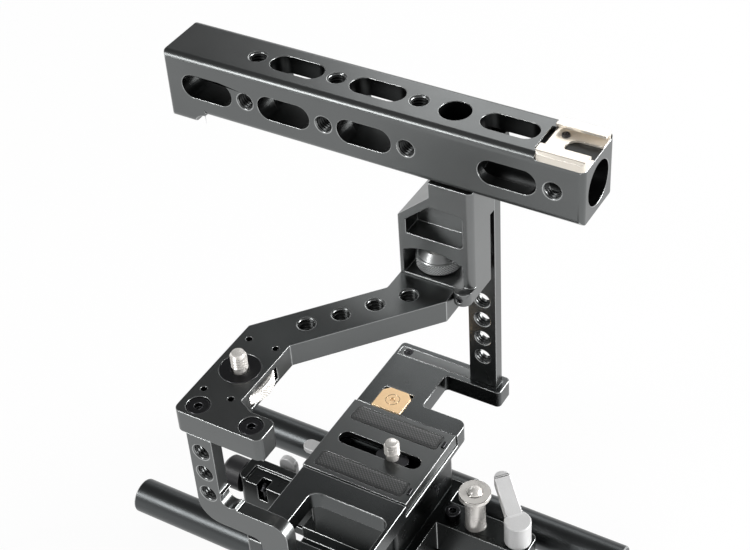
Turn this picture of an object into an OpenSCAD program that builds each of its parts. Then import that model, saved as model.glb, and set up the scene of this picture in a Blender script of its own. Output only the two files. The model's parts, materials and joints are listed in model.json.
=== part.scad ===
// Camera cage with a top handle on a riser, two side frames, a sliding camera plate
// and a clamp for two rods below.
// X runs along the handle and the rods, Y from the near frame to the far frame, Z up.
// The origin lies on the underside, midway between the rods and under the middle of the plate.

/* [Rods] */
// Diameter of each rod
rod_d = 15; // [12:0.5:16]
// Distance between the axes of the rods
rod_spacing = 60; // [58:1:64]
// Length of each rod
rod_len = 200; // [180:5:260]
// Place of the front ends of the rods
rod_front_x = 95; // [85:1:110]
// Height of the axes of the rods above the underside
rod_axis_z = 13.5; // [12.5:0.5:15]
// Diameter of the tapped hole in each rod end
rod_tap_d = 10.5; // [8:0.5:11]
// Depth of the tapped hole in each rod end
rod_tap_depth = 14; // [8:1:20]

/* [Rod clamp] */
// Length of the clamp body along the rods
clamp_len = 48; // [44:1:50]
// Wall of the clamp body outside and above each rod
clamp_wall = 3.5; // [2.6:0.1:6]
// Height of the middle of the clamp body
clamp_h = 31; // [29:0.5:34]
// Radius of the outer edges of the clamp body
clamp_edge_r = 10; // [6:0.5:11]
// Width of the middle of the clamp body
clamp_core_w = 52; // [46:1:56]
// Height of the slit that closes on both rods
slit_h = 1.5; // [1:0.1:2]
// Reach of the two tongues from the middle of the clamp
tongue_reach = 64; // [62:1:68]
// Distance from the middle to the inner side of each tongue
tongue_inner_y = 1.5; // [1:0.1:2]
// Width of each tongue
tongue_w = 12.8; // [12.4:0.1:14]
// Height of the underside of each tongue
tongue_under_z = 8; // [7:0.5:9]
// Radius of the upright edges at the end of each tongue
tongue_end_r = 3; // [1:0.5:4]
// Width of the raised rim along the far side of the rear tongue
tongue_rim_w = 4; // [2:0.1:5]
// Depth of the floor behind that rim
tongue_floor_drop = 1.4; // [1:0.1:2]

/* [Levers and pins] */
// Place of the lock pin as a share of the front tongue
lock_pin_share = 0.37; // [0.35:0.01:0.4]
// Diameter of the lock pin
lock_pin_d = 8.5; // [8:0.1:9]
// Diameter of the flange at the top of the lock pin
lock_flange_d = 13.3; // [12:0.1:13.6]
// Thickness of that flange
lock_flange_t = 2.2; // [1.5:0.1:3]
// Height of the top of the flange
lock_top_z = 50.5; // [49:0.5:52]
// Place of the front lever as a share of its tongue
lever_share = 0.85; // [0.82:0.01:0.86]
// Radius of the hub of each lever
lever_hub_r = 5.5; // [5:0.1:5.8]
// Height of the hub of the front lever
lever_hub_h = 12; // [10:0.5:13]
// Reach of the front lever from its axis
lever_reach = 20; // [18:0.5:21]
// Rise of the blade of the front lever above its hub
lever_rise = 9; // [7:0.5:10]
// Width of the blade of the front lever
lever_blade_w = 6.8; // [5.5:0.1:8.6]
// Thickness of the blades of the levers
lever_blade_t = 3; // [2.5:0.1:3.5]
// Direction of the front lever, measured from +X
lever_turn = 138; // [120:1:138]
// Diameter of the screws that the levers turn
lever_screw_d = 5; // [4:0.5:6]
// Place of the rear lever as a share of the rear tongue
rear_lever_share = 0.625; // [0.6:0.005:0.65]
// Height of the axis of the rear lever
rear_lever_z = 20; // [19:0.5:21]
// Height of the blade of the rear lever above its axis
rear_lever_reach = 13; // [11:0.5:14]
// Diameter of the rear knob
knob_d = 14.4; // [12:0.1:16]
// Thickness of the rear knob
knob_t = 9.6; // [8:0.1:12]
// Height of the axis of the rear knob
knob_z = 24; // [23:0.5:25]
// Reach of the release lever behind the column
release_reach = 17; // [14:0.5:18]
// Width of the release lever
release_w = 6; // [5:0.5:7]
// Thickness of the release lever
release_t = 2.6; // [2:0.1:3]

/* [Column] */
// Length of the column under the base plate
column_len = 40; // [36:1:42]
// Width of the column under the base plate
column_w = 52; // [46:1:54]
// Height of the column
column_h = 23.6; // [20:0.5:28]

/* [Base plate] */
// Place of the rear edge of the base plate
base_rear_x = -23.5; // [-25:0.1:-23]
// Place of the front edge of the base plate
base_front_x = 24; // [23.5:0.1:25]
// Place of the far edge of the base plate
base_far_y = 61.5; // [61:0.1:63]
// Thickness of the base plate
base_t = 8.4; // [8:0.1:10]
// Place of the side of the notch in the far half
notch_x = 3; // [1:0.1:6]
// Near edge of that notch
notch_near_y = 30.5; // [29:0.1:34]
// Far edge of that notch
notch_far_y = 51; // [49:0.1:51.3]
// Place of the end of the far arm of the base plate
far_arm_x = 28.3; // [27.5:0.1:30]
// Radius of the upright edges of the base plate
base_edge_r = 2; // [1:0.1:2.4]
// Radius of the corner of the base plate beside the notch
notch_corner_r = 3.8; // [2:0.1:5]
// Length of the window near the front frame
window_len = 35; // [30:0.5:37]
// Distance from the window to the front edge
window_front_wall = 2; // [1.5:0.1:4]
// Width of the window
window_w = 24; // [18:0.5:26]
// Far edge of the window
window_far_y = -30.5; // [-32:0.1:-29]
// Radius of the corners of the window
window_r = 4; // [2:0.1:5]

/* [Camera plate] */
// Length of the camera plate
plate_len = 47.5; // [45:0.5:50]
// Place of the rear edge of the camera plate
plate_rear_x = -24; // [-25:0.1:-22]
// Place of the near edge of the camera plate
plate_near_y = -20.3; // [-21:0.1:-19.5]
// Width of the camera plate at its top
plate_w = 41.3; // [40:0.1:41.8]
// Depth of the plate below the top of the base
plate_sink = 5.4; // [4.5:0.1:5.8]
// Height of the plate above the top of the base
plate_rise = 0.3; // [0.2:0.1:1]
// Widening of the plate at the bottom of each side
dovetail_in = 0.8; // [0.5:0.1:1]
// Length of the slot for the camera screw
slot_len = 37.4; // [34:0.2:40]
// Width of the slot for the camera screw
slot_w = 6.8; // [6.6:0.1:7.4]
// Width of the relief under the slot
slot_relief_w = 11.4; // [11:0.1:12.5]
// Thickness of the ledge beside the slot
slot_ledge_t = 2.6; // [2:0.1:3]
// Length of each pad
pad_len = 40.3; // [36:0.1:41.4]
// Width of each pad
pad_w = 8.2; // [6:0.1:8.6]
// Distance from the slot to the middle of each pad
pad_offset = 14.2; // [13.2:0.1:15]
// Thickness of each pad
pad_t = 1.1; // [0.9:0.1:1.5]
// Depth of the recess for each pad
pad_recess = 0.9; // [0.6:0.1:1]
// Radius of the corners of each pad
pad_r = 1.6; // [1:0.1:2.5]
// Place of the camera screw along X
camera_screw_x = 5.7; // [0:0.1:9]
// Height of the camera screw above the plate
camera_screw_out = 7.4; // [5:0.1:10]
// Diameter of the head under the plate
camera_head_d = 10; // [9:0.1:10.4]
// Thickness of the head under the plate
camera_head_t = 2; // [1.5:0.1:2.2]

/* [Locating block] */
// Length of the locating block
block_len = 13.5; // [11:0.1:15]
// Width of the locating block
block_w = 12.4; // [10:0.1:13]
// Thickness of the locating block
block_t = 2.3; // [1.8:0.1:3]
// Height of the block above the base plate
block_rise = 0.3; // [0.1:0.1:0.8]
// Place of the rear edge of the locating block
block_rear_x = -16.5; // [-18:0.1:-14]
// Chamfer of the far corners of the block
block_chamfer = 2.6; // [1:0.1:4]

/* [Near frame] */
// Place of the near face of the cage
near_face_y = -68.4; // [-70:0.1:-67]
// Thickness of the near frame
near_t = 5.7; // [5:0.1:7]
// Width of the post of the near frame
near_post_w = 10.9; // [9.6:0.1:12.4]
// Width of the leg of the near frame
near_leg_w = 12.3; // [11:0.1:14]
// Place of the rear edge of the near frame
near_rear_x = -38.5; // [-39.5:0.1:-37.5]
// Place of the front edge of the leg
near_leg_x = 1; // [-1:0.1:3]
// Height from the base plate to the underside of the beam
near_beam_lift = 10.5; // [9:0.1:13]
// Height of the beam
near_beam_h = 11.3; // [10:0.1:13]
// Outer radius where the post meets the beam
near_outer_r = 9; // [6:0.1:10]
// Radius where the beam meets the leg
near_leg_r = 6; // [4:0.1:8]
// Radius of the inner fillets of the near frame
near_fillet_r = 3.4; // [2:0.1:5]
// Thickness of the seat under the arm
near_seat_t = 3; // [2.5:0.1:4]

/* [Far frame] */
// Place of the near face of the far frame
far_frame_y = 53.8; // [53.4:0.1:54.4]
// Thickness of the far frame
far_t = 5.1; // [4.5:0.1:5.6]
// Place of the front edge of the far frame
far_front_x = 25.5; // [25:0.1:25.6]
// Width of the post of the far frame
far_post_w = 12.4; // [11:0.1:14]
// Rear end of the beam of the far frame
far_beam_rear_x = -22; // [-22.5:0.1:-20]
// Height of the beam of the far frame
far_beam_h = 6; // [5:0.1:6.4]
// Radius of the outer corner of the far frame
far_corner_r = 3; // [1:0.1:4]

/* [Top arm] */
// Clear height between the base plate and the arm
cage_h = 55.5; // [50:0.5:70]
// Thickness of the arm
arm_t = 10.3; // [9:0.1:12]
// Rear edge of the pad of the arm
arm_pad_rear_x = -42.8; // [-44:0.1:-42]
// Front edge of the pad of the arm
arm_pad_front_x = -22.7; // [-24:0.1:-21.5]
// Place of the end of the ear beside the pad
arm_ear_x = -5.5; // [-6:0.1:-5]
// Width of the ear beside the pad
arm_ear_w = 11.6; // [11.4:0.1:12.6]
// Place of the far side of the ear where it leaves the pad
arm_ear_root_x = -16.3; // [-18:0.1:-14]
// Radius of the upright corners of the ear and of the pad
arm_corner_r = 2.8; // [2:0.1:3.6]
// Place of the inner corner between the ear and the pad
arm_notch_y = -53.6; // [-55:0.1:-52]
// Angle of the slanting stretch of the arm, measured from +X
arm_angle = 49.8; // [46:0.2:53]
// Distance from the holes to the inner edge of the arm
arm_inner_w = 9.3; // [8:0.1:11]
// Distance from the holes to the outer edge of the arm
arm_outer_w = 7.8; // [7:0.1:9]
// Rear edge of the arm under the riser
arm_tail_rear_x = -6.6; // [-6.6:0.1:-6]
// Front edge of the arm under the riser
arm_tail_front_x = 18; // [17:0.1:19]
// Far end of the arm
arm_far_y = 52; // [51:0.1:53]
// Place of the far threaded hole along X
arm_hole_x = 3.3; // [2:0.1:4]
// Place of the far threaded hole along Y
arm_hole_y = 24.3; // [23:0.1:25]
// Distance between the threaded holes of the arm
arm_hole_pitch = 13.9; // [12:0.1:14]
// Place of the cap screw in the corner of the arm
arm_cap_x = -35.5; // [-37:0.1:-34]
// Place of the cap screw in the ear
arm_ear_screw_x = -12.5; // [-13.5:0.1:-11.5]

/* [Accessory screw] */
// Place of the accessory screw along X
acc_x = -32.6; // [-33.5:0.1:-31.5]
// Place of the accessory screw along Y
acc_y = -39.6; // [-41:0.1:-38]
// Diameter of the quarter inch screws
quarter_d = 6.35; // [6:0.05:6.6]
// Height of the accessory screw above the arm
acc_out = 8.2; // [6:0.1:11]
// Diameter of the disc round the accessory screw
disc_d = 15.7; // [13:0.1:17]
// Thickness of that disc
disc_t = 1.6; // [1.2:0.1:2]
// Diameter of the wheel inside the arm
acc_wheel_d = 24.6; // [23:0.1:26]
// Thickness of the wheel inside the arm
acc_wheel_t = 5.4; // [4:0.1:5.6]
// Distance between the locating holes along X
acc_hole_dx = 11.9; // [11:0.1:13]
// Distance between the locating holes along Y
acc_hole_dy = 30; // [28:0.1:31]
// Diameter of the locating holes
acc_hole_d = 2.5; // [2:0.1:3]

/* [Riser] */
// Height of the riser above the arm
riser_h = 48; // [46:0.5:54]
// Place of the near face of the riser
riser_near_y = 35; // [34.6:0.1:35.4]
// Depth of the riser above the arm
riser_depth = 15; // [14:0.1:16]
// Height of the head of the riser
head_h = 19.3; // [18:0.1:21]
// Rear edge of the riser
riser_rear_x = -6.5; // [-6.8:0.1:-6.5]
// Front edge of the riser
riser_front_x = 25.6; // [25.6:0.1:27]
// Rear end of the top of the riser
riser_top_x = 7.4; // [5:0.1:9]
// Height of the slanting stretch of the head
riser_slant_h = 12.3; // [11:0.1:14]
// Radius of the upright edge at the front of the riser
riser_edge_r = 2.6; // [1:0.1:3.4]
// Thickness of the sill under the window
riser_sill_t = 1; // [0.8:0.1:1.2]
// Radius of the front corners of the pocket
pocket_r = 2; // [1:0.1:3]
// Height of the bar below the pocket
riser_bar_h = 5.8; // [5:0.1:7]
// Height of the window above the arm
riser_window_h = 15.2; // [14:0.1:16]
// Thickness of the rear leg
riser_rear_wall = 1.9; // [1.6:0.1:2.1]
// Thickness of the front leg
riser_front_wall = 4.2; // [3.5:0.1:5]
// Height of the pocket
pocket_h = 15.4; // [12:0.1:16]
// Depth of the pocket
pocket_depth = 9; // [6:0.1:10]
// Drop of the jaw beside the arm
jaw_drop = 3.4; // [2:0.1:6]
// Reach of the nose of the jaw in front of the riser
nose_out = 4.8; // [3.8:0.1:6]

/* [Thumbwheel] */
// Place of the thumbwheel along X
wheel_x = 5.2; // [5:0.1:6]
// Place of the thumbwheel along Y
wheel_y = 45.5; // [45:0.1:46]
// Diameter of the thumbwheel
wheel_d = 18.8; // [17:0.1:19]
// Thickness of the thumbwheel
wheel_t = 8.2; // [7:0.1:9]
// Height of the thumbwheel above the arm
wheel_lift = 1.6; // [1.3:0.1:2.4]
// Diameter of the stud that carries the thumbwheel
stud_d = 6; // [5:0.1:7]

/* [Handle bar] */
// Length of the handle bar
handle_len = 180; // [176:1:190]
// Width and height of the handle bar
handle_w = 26; // [25.6:0.2:28]
// Place of the front end of the handle bar
handle_front_x = 70; // [69:1:74]
// Radius of the long edges of the handle bar
handle_edge_r = 3.3; // [1.5:0.1:3.6]
// Radius of the upright edges at the ends of the handle bar
handle_end_r = 2.5; // [1:0.1:3.2]
// Diameter of the bore in the front end
handle_bore_d = 17.6; // [12:0.1:18]
// Depth of the bore in the front end
handle_bore_depth = 46; // [40:0.5:47]
// Distance from the middle of the bar down to the bore's axis
handle_bore_drop = 1.1; // [0:0.1:1.4]
// Distance between the repeated slots and holes
slot_pitch = 35.5; // [34:0.1:36]
// Length of the slots in the sides
side_slot_len = 23.4; // [20:0.1:24]
// Length of the slots in the top
top_slot_len = 23; // [20:0.1:24]
// Width of all slots in the handle bar
handle_slot_w = 10.4; // [8:0.1:12]
// Depth of the slots in the top
top_slot_depth = 18; // [13:0.1:20]
// Distance from the front end to the front side slot
side_slot_front = 30; // [29:0.1:31]
// Distance from the front end to the first repeated side slot
side_slot_first = 89.2; // [88:0.1:90]
// Distance from a side slot to the hole ahead of it
side_hole_ahead = 18; // [17:0.1:18.2]
// Distance from the front end to the front top slot
top_slot_front = 34.8; // [34:0.1:36]
// Distance from the front end to the first repeated top slot
top_slot_first = 89.6; // [89:0.1:91]
// Distance from a top slot to the hole ahead of it
top_hole_ahead = 17.6; // [17:0.1:18.2]
// Depth of the holes in the top
top_hole_depth = 9; // [6:0.1:9.4]
// Place of the handle screw along X
handle_screw_x = 13; // [12:0.1:14]
// Diameter of the access hole over the handle screw
access_d = 12.3; // [11:0.1:13]
// Length of the finger lip at the rear end
lip_len = 11.4; // [8:0.1:16]
// Drop of the finger lip below the bar
lip_drop = 4.8; // [3:0.1:5.6]
// Radius of the hollow in front of the finger lip
lip_hollow_r = 6; // [5.8:0.1:9]

/* [Cold shoe] */
// Length of the cold shoe
shoe_len = 19.5; // [18:0.1:20]
// Width of the cold shoe
shoe_w = 24; // [22.4:0.1:25.6]
// Width of the channel of the cold shoe
shoe_channel_w = 18.6; // [18:0.1:19]
// Width of the opening between the lips
shoe_opening_w = 12.7; // [12:0.1:13]
// Thickness of the floor of the cold shoe
shoe_floor_t = 0.9; // [0.8:0.05:1.2]
// Height of the channel of the cold shoe
shoe_channel_h = 2; // [1.9:0.05:2.3]
// Thickness of the lips of the cold shoe
shoe_lip_t = 1.1; // [0.8:0.05:1.4]
// Depth of the seat of the shoe in the handle bar
shoe_seat = 1.8; // [1.5:0.1:2.6]

/* [Hidden] */
$fn = 64;

anodised = [0.18, 0.19, 0.19];
rubber = [0.10, 0.11, 0.11];
steel = [0.78, 0.77, 0.75];
screw_black = [0.09, 0.09, 0.10];
brass = [0.82, 0.68, 0.44];
nickel = [0.84, 0.80, 0.74];

// Overrun of every cut past the surface that it opens
overrun = 1;
// Gap between pieces that move past each other
slide_gap = 0.3;
// Radial gap of a shaft in its bore
run_gap = 0.05;
// Chamfer at the mouth of every tapped hole
mouth_chamfer = 0.6;
// Overlap that lets an arc cross a face instead of touching it
blend_overlap = 0.15;

tap_r = quarter_d / 2;
// Radius of the neck of both quarter inch screws below their threads
neck_r = 0.82 * tap_r;

// Heights of the stack
slit_z = rod_axis_z;
base_under_z = clamp_h + column_h;
base_top_z = base_under_z + base_t;
arm_under_z = base_top_z + cage_h;
arm_top_z = arm_under_z + arm_t;
handle_under_z = arm_top_z + riser_h;
handle_top_z = handle_under_z + handle_w;
handle_mid_z = handle_under_z + handle_w / 2;
head_under_z = handle_under_z - head_h;

// Places across the cage
rod_y = rod_spacing / 2;
clamp_w = rod_spacing + rod_d + 2 * clamp_wall;
clamp_side_h = rod_axis_z + rod_d / 2 + clamp_wall;
base_near_y = near_face_y + near_t;
tongue_y = tongue_inner_y + tongue_w / 2;
tongue_outer_y = tongue_inner_y + tongue_w;
riser_far_y = riser_near_y + riser_depth;
handle_near_y = riser_near_y;
handle_y = handle_near_y + handle_w / 2;
handle_far_y = handle_near_y + handle_w;
far_back_y = far_frame_y + far_t;

// Camera plate and its channel
plate_t = plate_sink + plate_rise;
plate_under_z = base_top_z - plate_sink;
plate_top_z = base_top_z + plate_rise;
plate_far_y = plate_near_y + plate_w;
plate_mid_x = plate_rear_x + plate_len / 2;
plate_mid_y = plate_near_y + plate_w / 2;
channel_floor_z = plate_under_z - slide_gap;
ledge_under_z = plate_top_z - slot_ledge_t;

// Screws
cap_shaft_r = 2.5;
cap_head_r = 4.2;
cap_head_h = 4;
cap_socket_r = 1.7;
cap_seat_gap = 0.3;
small_shaft_r = 1.5;
small_head_r = 2.8;
small_head_h = 1.7;
small_socket_r = 1.15;
screw_depth = 7;

// Lever and tongue places
tongue_len = tongue_reach - clamp_len / 2;
lever_x = clamp_len / 2 + lever_share * tongue_len;
lock_pin_x = clamp_len / 2 + lock_pin_share * tongue_len;
rear_lever_x = -clamp_len / 2 - rear_lever_share * tongue_len;
lever_screw_r = lever_screw_d / 2;
lever_hub_z = clamp_h + slide_gap;
lever_top_z = lever_hub_z + lever_hub_h;
tongue_screw_share = 0.1075;
tongue_screw_x = clamp_len / 2 + tongue_screw_share * tongue_len;
tongue_screw_r = 2;
tongue_head_r = 3.2;
tongue_head_h = 3;
catch_share = 0.7;
catch_x = -clamp_len / 2 - catch_share * tongue_len;
catch_w = 4.6;
catch_depth = 5;
catch_r = 1.3;
catch_lean = 35;
catch_len = 7;
knob_shaft_r = 3;
knob_edge = 1.5;
knob_shaft_share = 0.2;
knob_shaft_len = knob_shaft_share * tongue_len;

// Thumbwheel and wheel flutes
flute_r = 0.8;
wheel_flutes = 30;
acc_flutes = 40;
wheel_edge = 0.6;

// Arm outline
arm_dir = [cos(arm_angle), sin(arm_angle)];
arm_normal = [sin(arm_angle), -cos(arm_angle)];
arm_far_hole = [arm_hole_x, arm_hole_y];
arm_inner_point = arm_far_hole + arm_normal * arm_inner_w;
arm_outer_point = arm_far_hole - arm_normal * arm_outer_w;
arm_hole_count = 4;
arm_cap_y = near_face_y + arm_ear_w / 2;
arm_ear_y = near_face_y + arm_ear_w;
acc_slot_gap = 1;
acc_slot_under_z = arm_under_z + 0.15 * arm_t;
acc_wheel_z = acc_slot_under_z + slide_gap;
acc_slot_h = acc_wheel_t + 2 * slide_gap;

// Place on a slanting edge of the arm for a given X
function on_edge(point, x) = [x, point[1] + (x - point[0]) * arm_dir[1] / arm_dir[0]];

// Places of the slots and holes of the handle bar
side_slots = concat([handle_front_x - side_slot_front],
  [for (i = [0:2]) handle_front_x - side_slot_first - i * slot_pitch]);
top_slots = [for (i = [0:1]) handle_front_x - top_slot_first - i * slot_pitch];
top_holes = [for (i = [0:2]) handle_front_x - top_slot_first + top_hole_ahead - i * slot_pitch];
screw_seat = 6;
handle_screw_r = 3;
handle_head_r = 5;
handle_head_h = 5;
handle_socket_r = 2.9;
handle_bite = 13;

shoe_rear_x = handle_front_x - shoe_len;
shoe_y = handle_near_y + shoe_w / 2;
shoe_bevel = 1.1;
shoe_screw_bite = 2.5;
shoe_seat_z = handle_top_z - shoe_seat;
shoe_h = shoe_floor_t + shoe_channel_h + shoe_lip_t;
shoe_groove = 1.7;
shoe_groove_w = 15;
shoe_notch_r = 4.2;
shoe_corner_r = 2.2;
shoe_screw_r = 1.1;
shoe_screw_head_r = 1.6;
shoe_screw_inset = 4.6;
shoe_screw_spread = 5.2;

// Bores and outlines that several pieces share
module bore_x(at, r, length)
{
  translate(at) rotate([0, 90, 0]) cylinder(h = length, r = r);
}

module bore_y(at, r, length)
{
  translate(at) rotate([-90, 0, 0]) cylinder(h = length, r = r);
}

module bore_z(at, r, length)
{
  translate(at) cylinder(h = length, r = r);
}

// Outline in Y and Z, drawn out along +X
module extrude_x(length)
{
  rotate([90, 0, 90]) linear_extrude(length) children();
}

// Outline in X and Z, drawn out along +Y
module extrude_y(length)
{
  translate([0, length, 0]) rotate([90, 0, 0]) linear_extrude(length) children();
}

// Rectangle from a corner, with round corners
module round_rect(size, r)
{
  translate([r, 0]) square([size[0] - 2 * r, size[1]]);
  translate([0, r]) square([size[0], size[1] - 2 * r]);
  for (x = [r, size[0] - r], y = [r, size[1] - r]) translate([x, y]) circle(r);
}

// Waste of a round corner that points along +X and -Y, from the start of its arc
module outer_corner(r)
{
  difference()
  {
    translate([0, -overrun]) square([r + overrun, r + overrun]);
    translate([0, r]) circle(r);
  }
}

// Slot outline round its middle, long side along X
module slot_shape(length, width)
{
  square([length - width, width], center = true);
  for (side = [-1, 1]) translate([side * (length - width) / 2, 0]) circle(width / 2);
}

// Tapped hole along +Z through a thickness, open at both mouths
module tapped(r, length)
{
  mouth = mouth_chamfer + overrun;
  translate([0, 0, -overrun]) cylinder(h = length + 2 * overrun, r = r);
  translate([0, 0, -overrun]) cylinder(h = mouth, r1 = r + mouth, r2 = r);
  translate([0, 0, length - mouth_chamfer]) cylinder(h = mouth, r1 = r, r2 = r + mouth);
}

// Tapped hole along -Z from a face at the origin, closed at its end
module blind_tap(r, depth)
{
  mouth = mouth_chamfer + overrun;
  translate([0, 0, -depth]) cylinder(h = depth + overrun, r = r);
  translate([0, 0, -mouth_chamfer]) cylinder(h = mouth, r1 = r, r2 = r + mouth);
}

// Screw with its head's underside at the origin and its shaft along -Z
module cap_screw(shaft_r, length, head_r, head_h, socket_r)
{
  difference()
  {
    union()
    {
      translate([0, 0, -length]) cylinder(h = length, r = shaft_r);
      cylinder(h = head_h, r = head_r);
    }
    translate([0, 0, head_h / 2]) cylinder(h = head_h, r = socket_r, $fn = 6);
  }
}

module small_screw(length)
{
  cap_screw(small_shaft_r, length, small_head_r, small_head_h, small_socket_r);
}

// Hole for a small screw, its seat at the origin and its shaft along -Z
module small_screw_hole(length)
{
  translate([0, 0, -length]) cylinder(h = length + overrun, r = small_shaft_r + run_gap);
  cylinder(h = small_head_h + overrun, r = small_head_r + cap_seat_gap);
}

// Round wheel with flutes in its rim and a bore
module fluted_wheel(r, thickness, flutes, bore_r)
{
  difference()
  {
    union()
    {
      translate([0, 0, wheel_edge]) linear_extrude(thickness - 2 * wheel_edge) difference()
      {
        circle(r);
        for (i = [0:flutes - 1]) rotate(i * 360 / flutes) translate([r + flute_r / 2, 0]) circle(flute_r);
      }
      cylinder(h = thickness, r = r - wheel_edge - flute_r / 2);
    }
    translate([0, 0, -overrun]) cylinder(h = thickness + 2 * overrun, r = bore_r);
  }
}

// Near frame
near_beam_z = base_top_z + near_beam_lift;
near_top_z = near_beam_z + near_beam_h;
near_post_x = near_rear_x + near_post_w / 2;
near_hole_first = 7.9;
near_hole_pitch = 11.1;
near_hole_count = 3;
near_seat_far_y = near_face_y + 2 * near_t;
near_seat_set = 3;

module near_outline()
{
  post_front = near_rear_x + near_post_w;
  leg_rear = near_leg_x - near_leg_w;
  difference()
  {
    union()
    {
      // Post with the round outer corner at its foot
      translate([near_rear_x, near_beam_z + near_outer_r])
        square([near_post_w, arm_under_z - near_beam_z - near_outer_r]);
      translate([near_rear_x + near_outer_r, near_beam_z + near_outer_r]) circle(near_outer_r);
      // Beam
      translate([near_rear_x + near_outer_r, near_beam_z])
        square([near_leg_x - near_leg_r - near_rear_x - near_outer_r, near_beam_h]);
      translate([near_rear_x, near_beam_z + near_outer_r])
        square([near_post_w, near_beam_h]);
      // Leg with the round shoulder
      translate([near_leg_x - near_leg_r, near_top_z - near_leg_r]) circle(near_leg_r);
      translate([leg_rear, base_under_z])
        square([near_leg_w, near_top_z - near_leg_r - base_under_z]);
      // Fillets inside the bends
      translate([post_front, near_top_z]) square([near_fillet_r, near_fillet_r]);
      translate([leg_rear - near_fillet_r, near_beam_z - near_fillet_r])
        square([near_fillet_r, near_fillet_r]);
    }
    translate([post_front + near_fillet_r, near_top_z + near_fillet_r]) circle(near_fillet_r);
    translate([leg_rear - near_fillet_r, near_beam_z - near_fillet_r]) circle(near_fillet_r);
  }
}

module near_frame()
{
  color(anodised) difference()
  {
    union()
    {
      translate([0, near_face_y, 0]) extrude_y(near_t) near_outline();
      // Seat for the arm, set back behind the near face
      translate([near_rear_x, near_face_y + near_seat_set, arm_under_z - near_seat_t])
        cube([arm_ear_x - near_rear_x - near_seat_set / 2,
          near_seat_far_y - near_face_y - near_seat_set, near_seat_t]);
    }
    for (i = [0:near_hole_count - 1])
      translate([near_post_x, near_face_y, arm_under_z - near_hole_first - i * near_hole_pitch])
        rotate([-90, 0, 0]) tapped(tap_r, near_t);
    for (x = [arm_cap_x, arm_ear_screw_x])
      bore_z([x, arm_cap_y, arm_under_z - screw_depth - overrun], cap_shaft_r + run_gap,
        screw_depth + 2 * overrun);
    for (x = near_leg_screws) translate([x, near_face_y + small_head_h, near_leg_screw_z])
      rotate([90, 0, 0]) small_screw_hole(near_t + overrun);
  }
}

near_leg_screws = [near_leg_x - near_leg_w * 0.27, near_leg_x - near_leg_w * 0.73];
near_leg_screw_z = base_under_z + base_t / 2;

module near_frame_screws()
{
  color(screw_black) for (x = near_leg_screws)
    translate([x, near_face_y + small_head_h, near_leg_screw_z])
      rotate([90, 0, 0]) small_screw(near_t + small_head_h);
}

// Far frame
far_post_x = far_front_x - far_post_w / 2;
far_lap_h = 14.3;
far_top_z = head_under_z + far_lap_h;
far_hole_first = 15.3;
far_hole_pitch = 10.3;
far_hole_count = 4;
far_screw_inset = 4;
far_screw_drop = 6.4;
far_beam_z = base_top_z - far_beam_h;
far_screws = [head_under_z + far_screw_inset, head_under_z + far_screw_inset + far_screw_drop];
far_beam_screw_x = far_beam_rear_x + far_screw_inset;

module far_frame()
{
  color(anodised) difference()
  {
    translate([0, far_frame_y, 0]) extrude_y(far_t) union()
    {
      translate([far_beam_rear_x, far_beam_z])
        square([far_front_x - far_corner_r - far_beam_rear_x, far_beam_h]);
      translate([far_front_x - far_post_w, far_beam_z + far_corner_r])
        square([far_post_w, far_top_z - far_beam_z - far_corner_r]);
      translate([far_front_x - far_corner_r, far_beam_z + far_corner_r]) circle(far_corner_r);
    }
    for (i = [0:far_hole_count - 1])
      translate([far_post_x, far_frame_y, base_top_z + far_hole_first + i * far_hole_pitch])
        rotate([-90, 0, 0]) tapped(tap_r, far_t);
    for (z = far_screws) translate([far_post_x, far_back_y - small_head_h, z])
      rotate([-90, 0, 0]) small_screw_hole(far_t + overrun);
    translate([far_beam_screw_x, far_frame_y + far_t / 2, base_top_z - small_head_h])
      small_beam_hole();
  }
}

beam_screw_head_r = 2;
beam_screw_r = 1.2;

module small_beam_hole()
{
  translate([0, 0, -screw_depth]) cylinder(h = screw_depth + overrun, r = beam_screw_r + run_gap);
  cylinder(h = small_head_h + overrun, r = beam_screw_head_r + run_gap);
}

module far_beam_screw()
{
  color(screw_black)
    translate([far_beam_screw_x, far_frame_y + far_t / 2, base_top_z - small_head_h])
      cap_screw(beam_screw_r, base_t - small_head_h - beam_screw_r, beam_screw_head_r, small_head_h,
        beam_screw_r * 0.8);
}

module far_post_screws()
{
  color(screw_black) for (z = far_screws)
    translate([far_post_x, far_back_y - small_head_h, z])
      rotate([-90, 0, 0]) small_screw(far_t - small_head_h + screw_depth);
}

// Top arm
module arm_outline()
{
  r = arm_corner_r;
  polygon([
    [arm_pad_rear_x, near_face_y + r],
    [arm_pad_rear_x + r, near_face_y],
    [arm_ear_x - r, near_face_y],
    [arm_ear_x, near_face_y + r],
    [arm_ear_x, arm_ear_y - r],
    [arm_ear_x - r, arm_ear_y],
    [arm_ear_root_x, arm_ear_y],
    [arm_pad_front_x, arm_notch_y],
    on_edge(arm_inner_point, arm_pad_front_x),
    on_edge(arm_inner_point, arm_tail_front_x),
    [arm_tail_front_x, arm_far_y],
    [arm_tail_rear_x, arm_far_y],
    on_edge(arm_outer_point, arm_tail_rear_x),
    on_edge(arm_outer_point, arm_pad_rear_x)
  ]);
  for (at = [[arm_pad_rear_x + r, near_face_y + r], [arm_ear_x - r, near_face_y + r],
    [arm_ear_x - r, arm_ear_y - r]]) translate(at) circle(r);
}

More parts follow.
